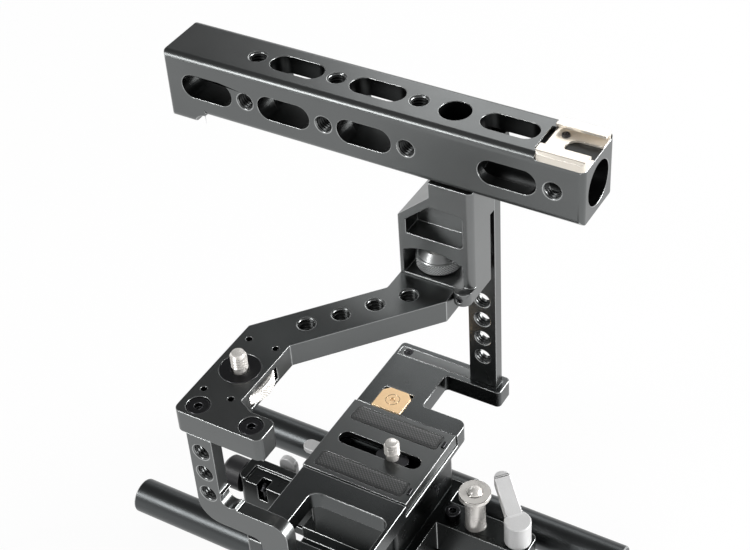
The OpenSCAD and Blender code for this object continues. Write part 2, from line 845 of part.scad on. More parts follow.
module top_arm()
{
  color(anodised) difference()
  {
    translate([0, 0, arm_under_z]) linear_extrude(arm_t) arm_outline();
    for (i = [0:arm_hole_count - 1])
      translate([arm_hole_x - i * arm_hole_pitch * arm_dir[0],
        arm_hole_y - i * arm_hole_pitch * arm_dir[1], arm_under_z]) tapped(tap_r, arm_t);
    for (side_x = [-1, 1], side_y = [-1, 1])
      bore_z([acc_x + side_x * acc_hole_dx / 2, acc_y + side_y * acc_hole_dy / 2,
        arm_under_z - overrun], acc_hole_d / 2, arm_t + 2 * overrun);
    for (x = [arm_cap_x, arm_ear_screw_x])
    {
      bore_z([x, arm_cap_y, arm_top_z - cap_head_h - cap_seat_gap], cap_head_r + cap_seat_gap,
        cap_head_h + overrun);
      bore_z([x, arm_cap_y, arm_under_z - overrun], cap_shaft_r + run_gap, arm_t);
    }
    // Hole and seat of the accessory screw, and the slot of its wheel
    bore_z([acc_x, acc_y, arm_top_z - disc_t], disc_d / 2 + run_gap, disc_t + overrun);
    bore_z([acc_x, acc_y, acc_slot_under_z], tap_r + slide_gap, arm_t);
    bore_z([acc_x, acc_y, acc_slot_under_z], acc_wheel_d / 2 + acc_slot_gap, acc_slot_h);
    bore_z([wheel_x, wheel_y, arm_under_z - overrun], stud_d / 2 + run_gap, arm_t + 2 * overrun);
  }
}

module arm_cap_screws()
{
  color(screw_black) for (x = [arm_cap_x, arm_ear_screw_x])
    translate([x, arm_cap_y, arm_top_z - cap_head_h - cap_seat_gap])
      cap_screw(cap_shaft_r, arm_t - cap_head_h - cap_seat_gap + near_seat_t, cap_head_r,
        cap_head_h, cap_socket_r);
}

// Accessory screw, its wheel in the arm and the disc round it
module accessory_screw()
{
  thread_z = arm_top_z + slide_gap;
  color(steel)
  {
    bore_z([acc_x, acc_y, acc_wheel_z], neck_r, thread_z - acc_wheel_z);
    bore_z([acc_x, acc_y, thread_z], tap_r, arm_top_z + acc_out - thread_z);
  }
}

module accessory_wheel()
{
  color(steel) translate([acc_x, acc_y, acc_wheel_z])
    fluted_wheel(acc_wheel_d / 2, acc_wheel_t, acc_flutes, neck_r);
}

module accessory_disc()
{
  color(screw_black) translate([acc_x, acc_y, arm_top_z - disc_t]) difference()
  {
    cylinder(h = disc_t, r = disc_d / 2);
    translate([0, 0, -overrun]) cylinder(h = disc_t + 2 * overrun, r = tap_r + slide_gap);
  }
}

// Riser
window_top_z = arm_top_z + riser_window_h;
pocket_z = window_top_z + riser_bar_h;
pocket_wall = 3.5;
pocket_slant_share = 0.42;
arch_rise = 3;
head_pocket_x = far_front_x - far_post_w;
jaw_under_z = arm_top_z - jaw_drop;
nose_top_z = arm_top_z + 0.7 * jaw_drop;
nose_x = (arm_tail_front_x + riser_front_x) / 2;
nose_r = (riser_front_x - arm_tail_front_x) / 2;
set_screw_r = 1.2;
set_screw_len = 5;

module riser_outline()
{
  polygon([
    [riser_rear_x, arm_top_z],
    [riser_rear_x, head_under_z],
    [riser_top_x, head_under_z + riser_slant_h],
    [riser_top_x, handle_under_z],
    [riser_front_x, handle_under_z],
    [riser_front_x, jaw_under_z],
    [arm_tail_front_x, jaw_under_z],
    [arm_tail_front_x, arm_top_z]
  ]);
}

module riser_window()
{
  rear = riser_rear_x + riser_rear_wall;
  width = riser_front_x - riser_front_wall - rear;
  arch_r = (pow(width / 2, 2) + pow(arch_rise, 2)) / (2 * arch_rise);
  sill_z = arm_top_z + riser_sill_t;
  translate([rear, sill_z]) square([width, riser_window_h - arch_rise - riser_sill_t]);
  intersection()
  {
    translate([rear + width / 2, window_top_z - arch_r]) circle(arch_r, $fn = 128);
    translate([rear, sill_z]) square([width, riser_window_h - riser_sill_t]);
  }
}

module riser_pocket()
{
  rear = riser_rear_x + pocket_wall;
  front = riser_front_x - riser_front_wall;
  top = pocket_z + pocket_h;
  polygon([
    [rear, pocket_z],
    [front - pocket_r, pocket_z],
    [front, pocket_z + pocket_r],
    [front, top - pocket_r],
    [front - pocket_r, top],
    [riser_top_x, top],
    [rear, pocket_z + pocket_slant_share * pocket_h]
  ]);
  for (z = [pocket_z + pocket_r, top - pocket_r])
    translate([front - pocket_r, z]) circle(pocket_r);
}

module riser_block()
{
  color(anodised) difference()
  {
    union()
    {
      translate([0, riser_near_y, 0]) extrude_y(riser_depth) riser_outline();
      // Head under the handle bar, as wide as the bar
      intersection()
      {
        translate([0, riser_near_y, 0]) extrude_y(handle_w) riser_outline();
        translate([riser_rear_x, riser_near_y, head_under_z])
          cube([riser_front_x - riser_rear_x, handle_w, head_h]);
      }
      // Nose of the jaw
      translate([0, 0, jaw_under_z]) linear_extrude(nose_top_z - jaw_under_z) union()
      {
        translate([nose_x, riser_near_y - nose_out + nose_r]) circle(nose_r);
        translate([nose_x - nose_r, riser_near_y - nose_out + nose_r])
          square([2 * nose_r, nose_out]);
      }
    }
    translate([0, riser_near_y - overrun, 0]) extrude_y(riser_depth + 2 * overrun) riser_window();
    translate([0, riser_near_y - overrun, 0]) extrude_y(pocket_depth + overrun) riser_pocket();
    // Lap for the post of the far frame
    translate([head_pocket_x, far_frame_y, head_under_z - overrun])
      cube([far_post_w + overrun, handle_far_y - far_frame_y + overrun, far_lap_h + overrun]);
    // Round upright edge above the nose
    translate([riser_front_x - riser_edge_r, riser_near_y, nose_top_z])
      linear_extrude(handle_under_z - nose_top_z + overrun) outer_corner(riser_edge_r);
    bore_z([wheel_x, wheel_y, window_top_z - overrun], stud_d / 2 + run_gap, riser_bar_h / 2 + overrun);
    bore_z([wheel_x, wheel_y, arm_top_z - overrun], stud_d / 2 + run_gap, riser_sill_t + 2 * overrun);
    bore_z([handle_screw_x, handle_y, handle_under_z - handle_bite - overrun],
      handle_screw_r + run_gap, handle_bite + 2 * overrun);
    for (z = far_screws) bore_y([far_post_x, far_frame_y - screw_depth - overrun, z],
      small_shaft_r + run_gap, screw_depth + 2 * overrun);
    bore_y([nose_x, riser_near_y - nose_out - overrun, jaw_under_z + (nose_top_z - jaw_under_z) / 2],
      set_screw_r + run_gap, set_screw_len + overrun);
  }
}

module riser_set_screw()
{
  color(screw_black) difference()
  {
    bore_y([nose_x, riser_near_y - nose_out + blend_overlap,
      jaw_under_z + (nose_top_z - jaw_under_z) / 2], set_screw_r, set_screw_len - blend_overlap);
    bore_y([nose_x, riser_near_y - nose_out - overrun,
      jaw_under_z + (nose_top_z - jaw_under_z) / 2], set_screw_r / 2, 2 * overrun);
  }
}

module riser_thumbwheel()
{
  rim_t = wheel_t - wheel_cone_h;
  color("gray") translate([wheel_x, wheel_y, arm_top_z + wheel_lift]) difference()
  {
    union()
    {
      fluted_wheel(wheel_d / 2, rim_t, wheel_flutes, stud_d / 2 + run_gap);
      translate([0, 0, rim_t])
        cylinder(h = wheel_cone_h, r1 = wheel_d / 2 - wheel_edge - flute_r / 2, r2 = wheel_top_r);
    }
    translate([0, 0, -overrun]) cylinder(h = wheel_t + 2 * overrun, r = stud_d / 2 + run_gap);
  }
}

collar_r = 4.6;
wheel_cone_h = 3;
wheel_top_r = 6;

// Stud with a collar below and above the thumbwheel
module riser_stud()
{
  below = wheel_lift - riser_sill_t - run_gap;
  above = riser_window_h - wheel_lift - wheel_t - run_gap;
  color(steel)
  {
    bore_z([wheel_x, wheel_y, arm_under_z + arm_t / 4], stud_d / 2,
      3 * arm_t / 4 + riser_window_h + riser_bar_h / 2);
    bore_z([wheel_x, wheel_y, arm_top_z + riser_sill_t], collar_r, below);
    bore_z([wheel_x, wheel_y, window_top_z - above], collar_r, above - arch_rise / 2);
  }
}

// Handle bar
module handle_body()
{
  rear_x = handle_front_x - handle_len;
  hollow_z = handle_under_z - lip_hollow_r + blend_overlap;
  translate([rear_x, handle_near_y, handle_under_z])
    extrude_x(handle_len) round_rect([handle_w, handle_w], handle_edge_r);
  // Finger lip with a hollow in front of it
  intersection()
  {
    translate([rear_x, handle_near_y, handle_under_z - lip_drop])
      extrude_x(lip_len + lip_hollow_r) round_rect([handle_w, lip_drop + handle_w / 2], handle_edge_r);
    translate([0, handle_near_y - overrun, 0]) extrude_y(handle_w + 2 * overrun) difference()
    {
      translate([rear_x, handle_under_z - lip_drop])
        square([lip_len + lip_hollow_r - blend_overlap, lip_drop + handle_w / 4]);
      translate([rear_x + lip_len + lip_hollow_r, hollow_z]) circle(lip_hollow_r);
    }
  }
}

module handle_bar()
{
  color(anodised) difference()
  {
    handle_body();
    // Rounded upright edges at both ends
    translate([handle_front_x - handle_len / 2, handle_y, handle_under_z - lip_drop - overrun])
      for (end = [0, 1], side = [0, 1]) mirror([end, 0, 0]) mirror([0, side, 0])
        linear_extrude(handle_w + lip_drop + 2 * overrun)
          translate([handle_len / 2 - handle_end_r, -handle_w / 2]) outer_corner(handle_end_r);
    for (x = side_slots)
    {
      translate([x, handle_near_y - overrun, handle_mid_z])
        extrude_y(handle_w + 2 * overrun) slot_shape(side_slot_len, handle_slot_w);
      translate([x + side_hole_ahead, handle_near_y, handle_mid_z])
        rotate([-90, 0, 0]) tapped(tap_r, handle_w);
    }
    for (x = concat([handle_front_x - top_slot_front], top_slots))
      translate([x, handle_y, handle_top_z - top_slot_depth])
        linear_extrude(top_slot_depth + overrun) slot_shape(top_slot_len, handle_slot_w);
    for (x = top_holes)
      translate([x, handle_y, handle_top_z]) blind_tap(tap_r, top_hole_depth);
    bore_x([handle_front_x - handle_bore_depth, handle_y, handle_mid_z - handle_bore_drop],
      handle_bore_d / 2, handle_bore_depth + overrun);
    // Access hole, seat and clearance hole of the handle screw
    bore_z([handle_screw_x, handle_y, handle_under_z + screw_seat], access_d / 2, handle_w);
    bore_z([handle_screw_x, handle_y, handle_under_z - overrun], handle_screw_r + slide_gap,
      handle_w / 2);
    // Seat of the cold shoe and the groove behind it
    translate([shoe_rear_x - run_gap, handle_near_y - overrun, shoe_seat_z])
      cube([shoe_len + run_gap + overrun, shoe_w + run_gap + overrun, shoe_seat + overrun]);
    translate([shoe_rear_x - shoe_groove, shoe_y - shoe_groove_w / 2, shoe_seat_z])
      cube([shoe_groove + overrun, shoe_groove_w, shoe_seat + overrun]);
    for (side = [-1, 1])
      bore_z([shoe_rear_x + shoe_screw_inset, shoe_y + side * shoe_screw_spread,
        shoe_seat_z - shoe_screw_bite], shoe_screw_r + run_gap, shoe_screw_bite + overrun);
  }
}

module handle_screw()
{
  color(screw_black) translate([handle_screw_x, handle_y, handle_under_z + screw_seat])
    cap_screw(handle_screw_r, screw_seat + handle_bite - overrun, handle_head_r, handle_head_h,
      handle_socket_r);
}

// Cold shoe
module shoe_plan()
{
  translate([shoe_rear_x, shoe_y - shoe_w / 2])
    round_rect([shoe_len, shoe_w], shoe_corner_r);
}

// Section of the shoe with bevelled upper edges
module shoe_section()
{
  near = shoe_y - shoe_w / 2;
  far = shoe_y + shoe_w / 2;
  top = shoe_seat_z + shoe_h;
  polygon([[near, shoe_seat_z], [far, shoe_seat_z], [far, top - shoe_bevel],
    [far - shoe_bevel, top], [near + shoe_bevel, top], [near, top - shoe_bevel]]);
}

module cold_shoe()
{
  color(nickel) difference()
  {
    intersection()
    {
      translate([0, 0, shoe_seat_z]) linear_extrude(shoe_h) shoe_plan();
      translate([shoe_rear_x, 0, 0]) extrude_x(shoe_len) shoe_section();
    }
    translate([shoe_rear_x - overrun, shoe_y - shoe_channel_w / 2, shoe_seat_z + shoe_floor_t])
      cube([shoe_len + 2 * overrun, shoe_channel_w, shoe_channel_h]);
    translate([shoe_rear_x - overrun, shoe_y - shoe_opening_w / 2, shoe_seat_z + shoe_floor_t])
      cube([shoe_len + 2 * overrun, shoe_opening_w, shoe_h]);
    // Notch in the floor, open to the front
    bore_z([handle_front_x - shoe_notch_r * 2, shoe_y, shoe_seat_z - overrun], shoe_notch_r,
      shoe_floor_t + 2 * overrun);
    translate([handle_front_x - shoe_notch_r * 2, shoe_y - shoe_notch_r, shoe_seat_z - overrun])
      cube([shoe_notch_r * 2 + overrun, shoe_notch_r * 2, shoe_floor_t + 2 * overrun]);
    for (side = [-1, 1])
      bore_z([shoe_rear_x + shoe_screw_inset, shoe_y + side * shoe_screw_spread,
        shoe_seat_z - overrun], shoe_screw_r + run_gap, shoe_floor_t + 2 * overrun);
  }
}

module shoe_screws()
{
  head_h = 0.35 * shoe_channel_h;
  color(screw_black) for (side = [-1, 1])
    translate([shoe_rear_x + shoe_screw_inset, shoe_y + side * shoe_screw_spread,
      shoe_seat_z + shoe_floor_t])
      cap_screw(shoe_screw_r, shoe_floor_t + shoe_screw_bite - run_gap, shoe_screw_head_r, head_h,
        shoe_screw_r / 2);
}

// Base plate
module base_outline()
{
  r = base_edge_r;
  near_len = notch_near_y - base_near_y;
  far_w = base_far_y - notch_far_y;
  translate([base_rear_x, base_near_y]) difference()
  {
    round_rect([base_front_x - base_rear_x, near_len], r);
    translate([base_front_x - base_rear_x - notch_corner_r, near_len]) mirror([0, 1])
      outer_corner(notch_corner_r);
  }
  translate([base_rear_x, base_near_y + r])
    square([notch_x - base_rear_x, base_far_y - base_near_y - 2 * r]);
  translate([base_rear_x, notch_far_y])
    round_rect([far_arm_x - base_rear_x, far_w], r);
  // Fillets in the corners of the notch
  difference()
  {
    translate([notch_x, notch_near_y]) square([notch_fillet_r, notch_far_y - notch_near_y]);
    translate([notch_x, notch_near_y + notch_fillet_r])
      square([notch_fillet_r, notch_far_y - notch_near_y - 2 * notch_fillet_r]);
    for (y = [notch_near_y + notch_fillet_r, notch_far_y - notch_fillet_r])
      translate([notch_x + notch_fillet_r, y]) circle(notch_fillet_r);
  }
}

notch_fillet_r = 1.6;

module channel_outline(gap)
{
  top = plate_top_z;
  foot = plate_under_z;
  polygon([
    [plate_near_y - gap, top + gap],
    [plate_near_y - dovetail_in - gap, foot - gap],
    [plate_far_y + dovetail_in + gap, foot - gap],
    [plate_far_y + gap, top + gap]
  ]);
}

column_screw_dx = 14;
column_screw_dy = 16;
block_near_y = plate_far_y + 2 * slide_gap;
block_z = base_top_z + block_rise - block_t;
block_screw_r = 1.5;
block_screw_head_r = 2.9;
block_screw_head_h = 1.2;

module base_plate()
{
  color(anodised) difference()
  {
    translate([0, 0, base_under_z]) linear_extrude(base_t) base_outline();
    translate([base_rear_x - overrun, 0, 0])
      extrude_x(far_arm_x - base_rear_x + 2 * overrun) channel_outline(slide_gap);
    // Window near the near frame
    translate([base_front_x - window_front_wall - window_len, window_far_y - window_w,
      base_under_z - overrun]) linear_extrude(base_t + 2 * overrun)
      round_rect([window_len, window_w], window_r);
    // Groove for the beam of the far frame
    translate([far_beam_rear_x, far_frame_y, far_beam_z])
      cube([far_front_x - far_beam_rear_x, far_t, far_beam_h + overrun]);
    translate([far_beam_screw_x, far_frame_y + far_t / 2, base_under_z + beam_screw_r])
      cylinder(h = base_t, r = beam_screw_r + run_gap);
    // Seat of the locating block
    translate([block_rear_x - run_gap, block_near_y - slide_gap - overrun, block_z])
      cube([block_len + 2 * run_gap, block_w + slide_gap + overrun + run_gap, block_t + overrun]);
    bore_z([block_rear_x + block_len / 2, block_near_y + block_w / 2, base_under_z + overrun],
      block_screw_r + run_gap, base_t);
    for (x = near_leg_screws)
      bore_y([x, base_near_y - overrun, near_leg_screw_z], small_shaft_r + run_gap,
        screw_depth + overrun);
    for (side_x = [-1, 1], side_y = [-1, 1])
      translate([side_x * column_screw_dx, side_y * column_screw_dy,
        channel_floor_z - small_head_h]) small_screw_hole(base_t);
  }
}

module column_screws()
{
  color(screw_black) for (side_x = [-1, 1], side_y = [-1, 1])
    translate([side_x * column_screw_dx, side_y * column_screw_dy, channel_floor_z - small_head_h])
      small_screw(channel_floor_z - small_head_h - base_under_z + screw_depth);
}

module locating_block()
{
  c = block_chamfer;
  color(brass) difference()
  {
    translate([block_rear_x, block_near_y, block_z]) linear_extrude(block_t) polygon([
      [0, 0], [block_len, 0], [block_len, block_w - c], [block_len - c, block_w],
      [c, block_w], [0, block_w - c]]);
    bore_z([block_rear_x + block_len / 2, block_near_y + block_w / 2, block_z - overrun],
      block_screw_r + run_gap, block_t + 2 * overrun);
    bore_z([block_rear_x + block_len / 2, block_near_y + block_w / 2,
      block_z + block_t - block_screw_head_h], block_screw_head_r + run_gap,
      block_screw_head_h + overrun);
  }
}

module locating_screw()
{
  color(brass) translate([block_rear_x + block_len / 2, block_near_y + block_w / 2,
    block_z + block_t - block_screw_head_h])
    cap_screw(block_screw_r, block_t - block_screw_head_h + block_t, block_screw_head_r,
      block_screw_head_h, block_screw_r * 0.8);
}

// Camera plate
slot_mid = [plate_mid_x, plate_mid_y];
pad_far_y = slot_mid[1] + pad_offset;
pad_near_y = slot_mid[1] - pad_offset;
pad_x = slot_mid[0];
stop_inset = 1.1;
stop_w = 3.2;
stop_t = 1.4;
clip_len = 14.4;
clip_t = 0.7;
clip_z = ledge_under_z + slide_gap;

module pad_shape(grow)
{
  translate([-pad_len / 2 - grow, -pad_w / 2 - grow])
    round_rect([pad_len + 2 * grow, pad_w + 2 * grow], pad_r + grow);
}

module camera_plate()
{
  color(anodised) difference()
  {
    translate([plate_rear_x, 0, 0]) extrude_x(plate_len) channel_outline(0);
    translate([slot_mid[0], slot_mid[1], plate_under_z - overrun])
      linear_extrude(plate_t + 2 * overrun) slot_shape(slot_len, slot_w);
    translate([slot_mid[0], slot_mid[1], plate_under_z - overrun])
      linear_extrude(ledge_under_z - plate_under_z + overrun)
        slot_shape(slot_len + slot_relief_w - slot_w, slot_relief_w);
    for (y = [pad_far_y, pad_near_y]) translate([pad_x, y, plate_top_z - pad_recess])
      linear_extrude(pad_recess + overrun) pad_shape(run_gap);
    for (y = [pad_far_y, pad_near_y])
      translate([plate_rear_x + plate_len - stop_inset - stop_t, y - stop_w / 2,
        plate_under_z + slot_ledge_t]) cube([stop_t, stop_w, plate_t]);
  }
}

module pad_far()
{
  color(rubber) translate([pad_x, pad_far_y, plate_top_z - pad_recess])
    linear_extrude(pad_t) pad_shape(0);
}

module pad_near()
{
  color(rubber) translate([pad_x, pad_near_y, plate_top_z - pad_recess])
    linear_extrude(pad_t) pad_shape(0);
}

module plate_stop_pins()
{
  color(steel) for (y = [pad_far_y, pad_near_y])
    translate([plate_rear_x + plate_len - stop_inset - stop_t, y - stop_w / 2,
      plate_under_z + slot_ledge_t])
      cube([stop_t, stop_w, plate_t - slot_ledge_t + 2 * plate_rise]);
}

module camera_screw()
{
  head_z = ledge_under_z - slide_gap - camera_head_t;
  thread_z = plate_top_z + slide_gap;
  color(steel) difference()
  {
    union()
    {
      bore_z([camera_screw_x, slot_mid[1], head_z], camera_head_d / 2, camera_head_t);
      bore_z([camera_screw_x, slot_mid[1], head_z], neck_r, thread_z - head_z);
      bore_z([camera_screw_x, slot_mid[1], thread_z], tap_r,
        plate_top_z + camera_screw_out - thread_z);
    }
    translate([camera_screw_x - camera_head_d / 2 - overrun, slot_mid[1] - run_gap * 10,
      head_z - overrun]) cube([camera_head_d + 2 * overrun, run_gap * 20,
      camera_head_t / 3 + overrun]);
  }
}

module screw_clip()
{
  color(steel) translate([camera_screw_x, slot_mid[1], clip_z]) difference()
  {
    linear_extrude(clip_t) slot_shape(clip_len, slot_w - 2 * run_gap * 3);
    translate([0, 0, -overrun]) cylinder(h = clip_t + 2 * overrun, r = neck_r + run_gap);
  }
}

// Column between the base plate and the rod clamp
column_edge_r = 4;
release_z = base_under_z - release_t - slide_gap - 1.3 * release_t;
release_pivot_x = -column_len / 2 + release_w;
release_pin_r = 2;
release_swing_w = 3 * release_w;

module support_column()
{
  color(anodised) difference()
  {
    translate([-column_len / 2, -column_w / 2, clamp_h])
      linear_extrude(column_h) round_rect([column_len, column_w], column_edge_r);
    for (side_x = [-1, 1], side_y = [-1, 1])
      bore_z([side_x * column_screw_dx, side_y * column_screw_dy, base_under_z - screw_depth - overrun],
        small_shaft_r + run_gap, screw_depth + 2 * overrun);
    // Mouth for the release lever
    translate([-column_len / 2 - overrun, -release_swing_w / 2, release_z - slide_gap])
      cube([2 * release_w + overrun, release_swing_w, release_t + 2 * slide_gap]);
    bore_z([release_pivot_x, 0, release_z - release_w / 2], release_pin_r + run_gap,
      base_under_z - release_z + release_w);
    for (side = [-1, 1])
      bore_z([side * clamp_screw_x, 0, clamp_h - overrun], cap_shaft_r + run_gap,
        screw_depth + overrun);
  }
}

module release_lever()
{
  color("lightgray") difference()
  {
    translate([0, 0, release_z]) linear_extrude(release_t) union()
    {
      translate([release_pivot_x, 0]) circle(release_w / 2 + run_gap);
      translate([-column_len / 2 - release_reach + release_w / 2, -release_w / 2])
        square([release_reach + release_pivot_x + column_len / 2 - release_w / 2, release_w]);
      translate([-column_len / 2 - release_reach + release_w / 2, 0]) circle(release_w / 2);
    }
    bore_z([release_pivot_x, 0, release_z - overrun], release_pin_r + run_gap,
      release_t + 2 * overrun);
  }
}

module release_pivot()
{
  color(steel) bore_z([release_pivot_x, 0, release_z - release_w / 2], release_pin_r,
    base_under_z - release_z + release_w / 2);
}

// Rod clamp
clamp_screw_x = 13;

module clamp_outline()
{
  translate([-clamp_w / 2, 0]) round_rect([clamp_w, clamp_side_h], clamp_edge_r);
  translate([-clamp_core_w / 2, clamp_side_h / 2]) square([clamp_core_w, clamp_h - clamp_side_h / 2]);
}

// Tongue that reaches from the clamp along +X on the far side
module tongue()
{
  translate([0, 0, tongue_under_z]) linear_extrude(clamp_h - tongue_under_z) union()
  {
    translate([clamp_len / 4, tongue_inner_y])
      square([tongue_reach - tongue_end_r - clamp_len / 4, tongue_w]);
    translate([clamp_len / 4, tongue_inner_y])
      round_rect([tongue_reach - clamp_len / 4, tongue_w], tongue_end_r);
  }
}

module clamp_body()
{
  bore_r = rod_d / 2 + run_gap;
  floor_front = -clamp_len / 2;
  color(anodised) difference()
  {
    union()
    {
      translate([-clamp_len / 2, 0, 0]) extrude_x(clamp_len) clamp_outline();
      tongue();
      rotate([0, 0, 180]) tongue();
    }
    for (side = [-1, 1])
      bore_x([-clamp_len / 2 - overrun, side * rod_y, rod_axis_z], bore_r, clamp_len + 2 * overrun);
    // Slit from rod to rod, and through both tongues
    translate([-tongue_reach - overrun, -rod_y, slit_z - slit_h / 2])
      cube([2 * tongue_reach + 2 * overrun, rod_spacing, slit_h]);
    // Floor behind the rim of the rear tongue
    translate([-tongue_reach + tongue_rim_w, -tongue_outer_y - overrun, clamp_h - tongue_floor_drop])
      cube([floor_front + tongue_reach - tongue_rim_w, tongue_w - tongue_rim_w + overrun,
        tongue_floor_drop + overrun]);
    // Notch for the catch pin
    translate([catch_x - catch_w / 2, -tongue_outer_y - overrun, clamp_h - clamp_h / 3])
      cube([catch_w, catch_depth + overrun, clamp_h]);
    bore_z([lock_pin_x, tongue_y, slit_z + slit_h], lock_pin_d / 2 + run_gap, clamp_h);
    bore_z([lever_x, tongue_y, tongue_under_z - overrun], lever_screw_r + run_gap, clamp_h);
    bore_y([rear_lever_x, -tongue_y, rear_lever_z], rear_screw_r + run_gap, tongue_w);
    bore_x([-tongue_reach - overrun, -tongue_y, knob_z], knob_shaft_r + run_gap,
      knob_shaft_len + 2 * overrun);
    bore_z([tongue_screw_x, tongue_y, tongue_under_z - overrun], tongue_screw_r + run_gap, clamp_h);
    for (side = [-1, 1])
    {
      bore_z([side * clamp_screw_x, 0, -overrun], cap_shaft_r + run_gap, clamp_h + 2 * overrun);
      bore_z([side * clamp_screw_x, 0, -overrun], cap_head_r + cap_seat_gap,
        cap_head_h + cap_seat_gap + overrun);
    }
  }
}

module clamp_screws()
{
  color(screw_black) for (side = [-1, 1])
    translate([side * clamp_screw_x, 0, cap_head_h + cap_seat_gap]) rotate([180, 0, 0])
      cap_screw(cap_shaft_r, clamp_h - cap_head_h - cap_seat_gap + screw_depth - overrun,
        cap_head_r, cap_head_h, cap_socket_r);
}

module tongue_screw()
{
  color(screw_black) translate([tongue_screw_x, tongue_y, clamp_h])
    cap_screw(tongue_screw_r, clamp_h - tongue_under_z, tongue_head_r, tongue_head_h, cap_socket_r);
}

// Small pin that leans in the notch of the rear tongue
module catch_pin()
{
  notch_floor = clamp_h - clamp_h / 3;
  color(steel) translate([catch_x, -tongue_outer_y + catch_depth / 2, notch_floor]) union()
  {
    cylinder(h = catch_len, r = catch_r);
    translate([0, 0, catch_len]) sphere(catch_r);
    translate([0, 0, catch_len]) rotate([catch_lean + 90, 0, 0])
      cylinder(h = catch_depth / 2, r = catch_r * 0.8);
  }
}

module rod(side)
{
  rear_x = rod_front_x - rod_len;
  difference()
  {
    bore_x([rear_x, side * rod_y, rod_axis_z], rod_d / 2, rod_len);
    bore_x([rear_x - overrun, side * rod_y, rod_axis_z], rod_tap_d / 2, rod_tap_depth + overrun);
    bore_x([rod_front_x - rod_tap_depth, side * rod_y, rod_axis_z], rod_tap_d / 2,
      rod_tap_depth + overrun);
  }
}

module rod_near()
{
  color(anodised) rod(-1);
}

module rod_far()
{
  color(anodised) rod(1);
}

// Lock pin on the front tongue
lock_foot_z = slit_z + 2 * slit_h;
dome_r = 3.3;

module lock_pin()
{
  color(steel)
  {
    bore_z([lock_pin_x, tongue_y, lock_foot_z], lock_pin_d / 2, lock_top_z - lock_foot_z);
    bore_z([lock_pin_x, tongue_y, lock_top_z - lock_flange_t], lock_flange_d / 2, lock_flange_t);
    intersection()
    {
      translate([lock_pin_x, tongue_y, lock_top_z - dome_r / 3]) sphere(dome_r);
      translate([lock_pin_x - dome_r, tongue_y - dome_r, lock_top_z - overrun])
        cube([2 * dome_r, 2 * dome_r, 2 * dome_r]);
    }
  }
}

// Front lever: hub, screw and a blade that rises away from it
module blade_profile()
{
  root = lever_hub_r / 2;
  polygon([
    [0, lever_top_z - 2 * lever_blade_t],
    [root, lever_top_z - 2 * lever_blade_t],
    [lever_reach, lever_top_z + lever_rise - lever_blade_t],
    [lever_reach, lever_top_z + lever_rise],
    [lever_reach - lever_blade_t, lever_top_z + lever_rise],
    [root, lever_top_z],
    [0, lever_top_z]
  ]);
}

module front_lever()
{
  color("silver") translate([lever_x, tongue_y, 0]) rotate([0, 0, lever_turn]) union()
  {
    bore_z([0, 0, lever_hub_z], lever_hub_r, lever_hub_h);
    bore_z([0, 0, tongue_under_z + slit_h], lever_screw_r, clamp_h - tongue_under_z);
    intersection()
    {
      translate([0, -lever_blade_w / 2, 0]) extrude_y(lever_blade_w) blade_profile();
      translate([0, 0, lever_hub_z]) linear_extrude(lever_hub_h + lever_rise + overrun) union()
      {
        translate([0, -lever_blade_w / 2]) square([lever_reach - lever_blade_w / 2, lever_blade_w]);
        translate([lever_reach - lever_blade_w / 2, 0]) circle(lever_blade_w / 2);
      }
    }
  }
}

// Rear lever on the far side of the rear tongue
rear_screw_r = 2;
rear_hub_t = 5.6;
rear_blade_w = 8.2;

module rear_lever()
{
  y = -tongue_inner_y + slide_gap;
  color("silver") union()
  {
    bore_y([rear_lever_x, y, rear_lever_z], lever_hub_r, rear_hub_t);
    bore_y([rear_lever_x, y - tongue_w / 2, rear_lever_z], rear_screw_r,
      tongue_w / 2 + rear_hub_t / 2);
    translate([rear_lever_x, y + rear_hub_t - lever_blade_t, rear_lever_z])
      extrude_y(lever_blade_t) union()
      {
        translate([-rear_blade_w / 2, 0]) square([rear_blade_w, rear_lever_reach - rear_blade_w / 2]);
        translate([0, rear_lever_reach - rear_blade_w / 2]) circle(rear_blade_w / 2);
      }
  }
}

// Knob at the end of the rear tongue
module rear_knob()
{
  color(screw_black) translate([-tongue_reach - slide_gap, -tongue_y, knob_z]) union()
  {
    rotate([0, -90, 0]) cylinder(h = knob_t - knob_edge, r = knob_d / 2);
    rotate([0, -90, 0]) translate([0, 0, knob_t - knob_edge])
      cylinder(h = knob_edge, r1 = knob_d / 2, r2 = knob_d / 2 - knob_edge);
    rotate([0, 90, 0]) translate([0, 0, -knob_t / 2])
      cylinder(h = knob_shaft_len + knob_t / 2, r = knob_shaft_r);
  }
}

base_plate();
near_frame();
near_frame_screws();
far_frame();
far_beam_screw();
far_post_screws();
top_arm();
arm_cap_screws();
handle_bar();
handle_screw();
cold_shoe();
shoe_screws();
riser_block();
riser_set_screw();
riser_thumbwheel();
riser_stud();
accessory_screw();
accessory_wheel();
accessory_disc();
camera_plate();
pad_far();
pad_near();
camera_screw();
screw_clip();
plate_stop_pins();
locating_block();
locating_screw();
support_column();
column_screws();
clamp_body();
clamp_screws();
tongue_screw();
catch_pin();
rod_near();
rod_far();
lock_pin();
front_lever();
rear_lever();
rear_knob();
release_lever();
release_pivot();
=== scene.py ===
# %% [markdown]
# # A camera cage, dressed in Blender
# The imported CAD model gives every piece its place and size. This lesson adds what a CAD solid
# lacks: broken edges that catch the light, real threads, knurls, and finishes with grain.
# First the frame is loaded, and its box is kept.

# %% Load the frame
import json
import math

import bpy
from mathutils import Matrix, Vector

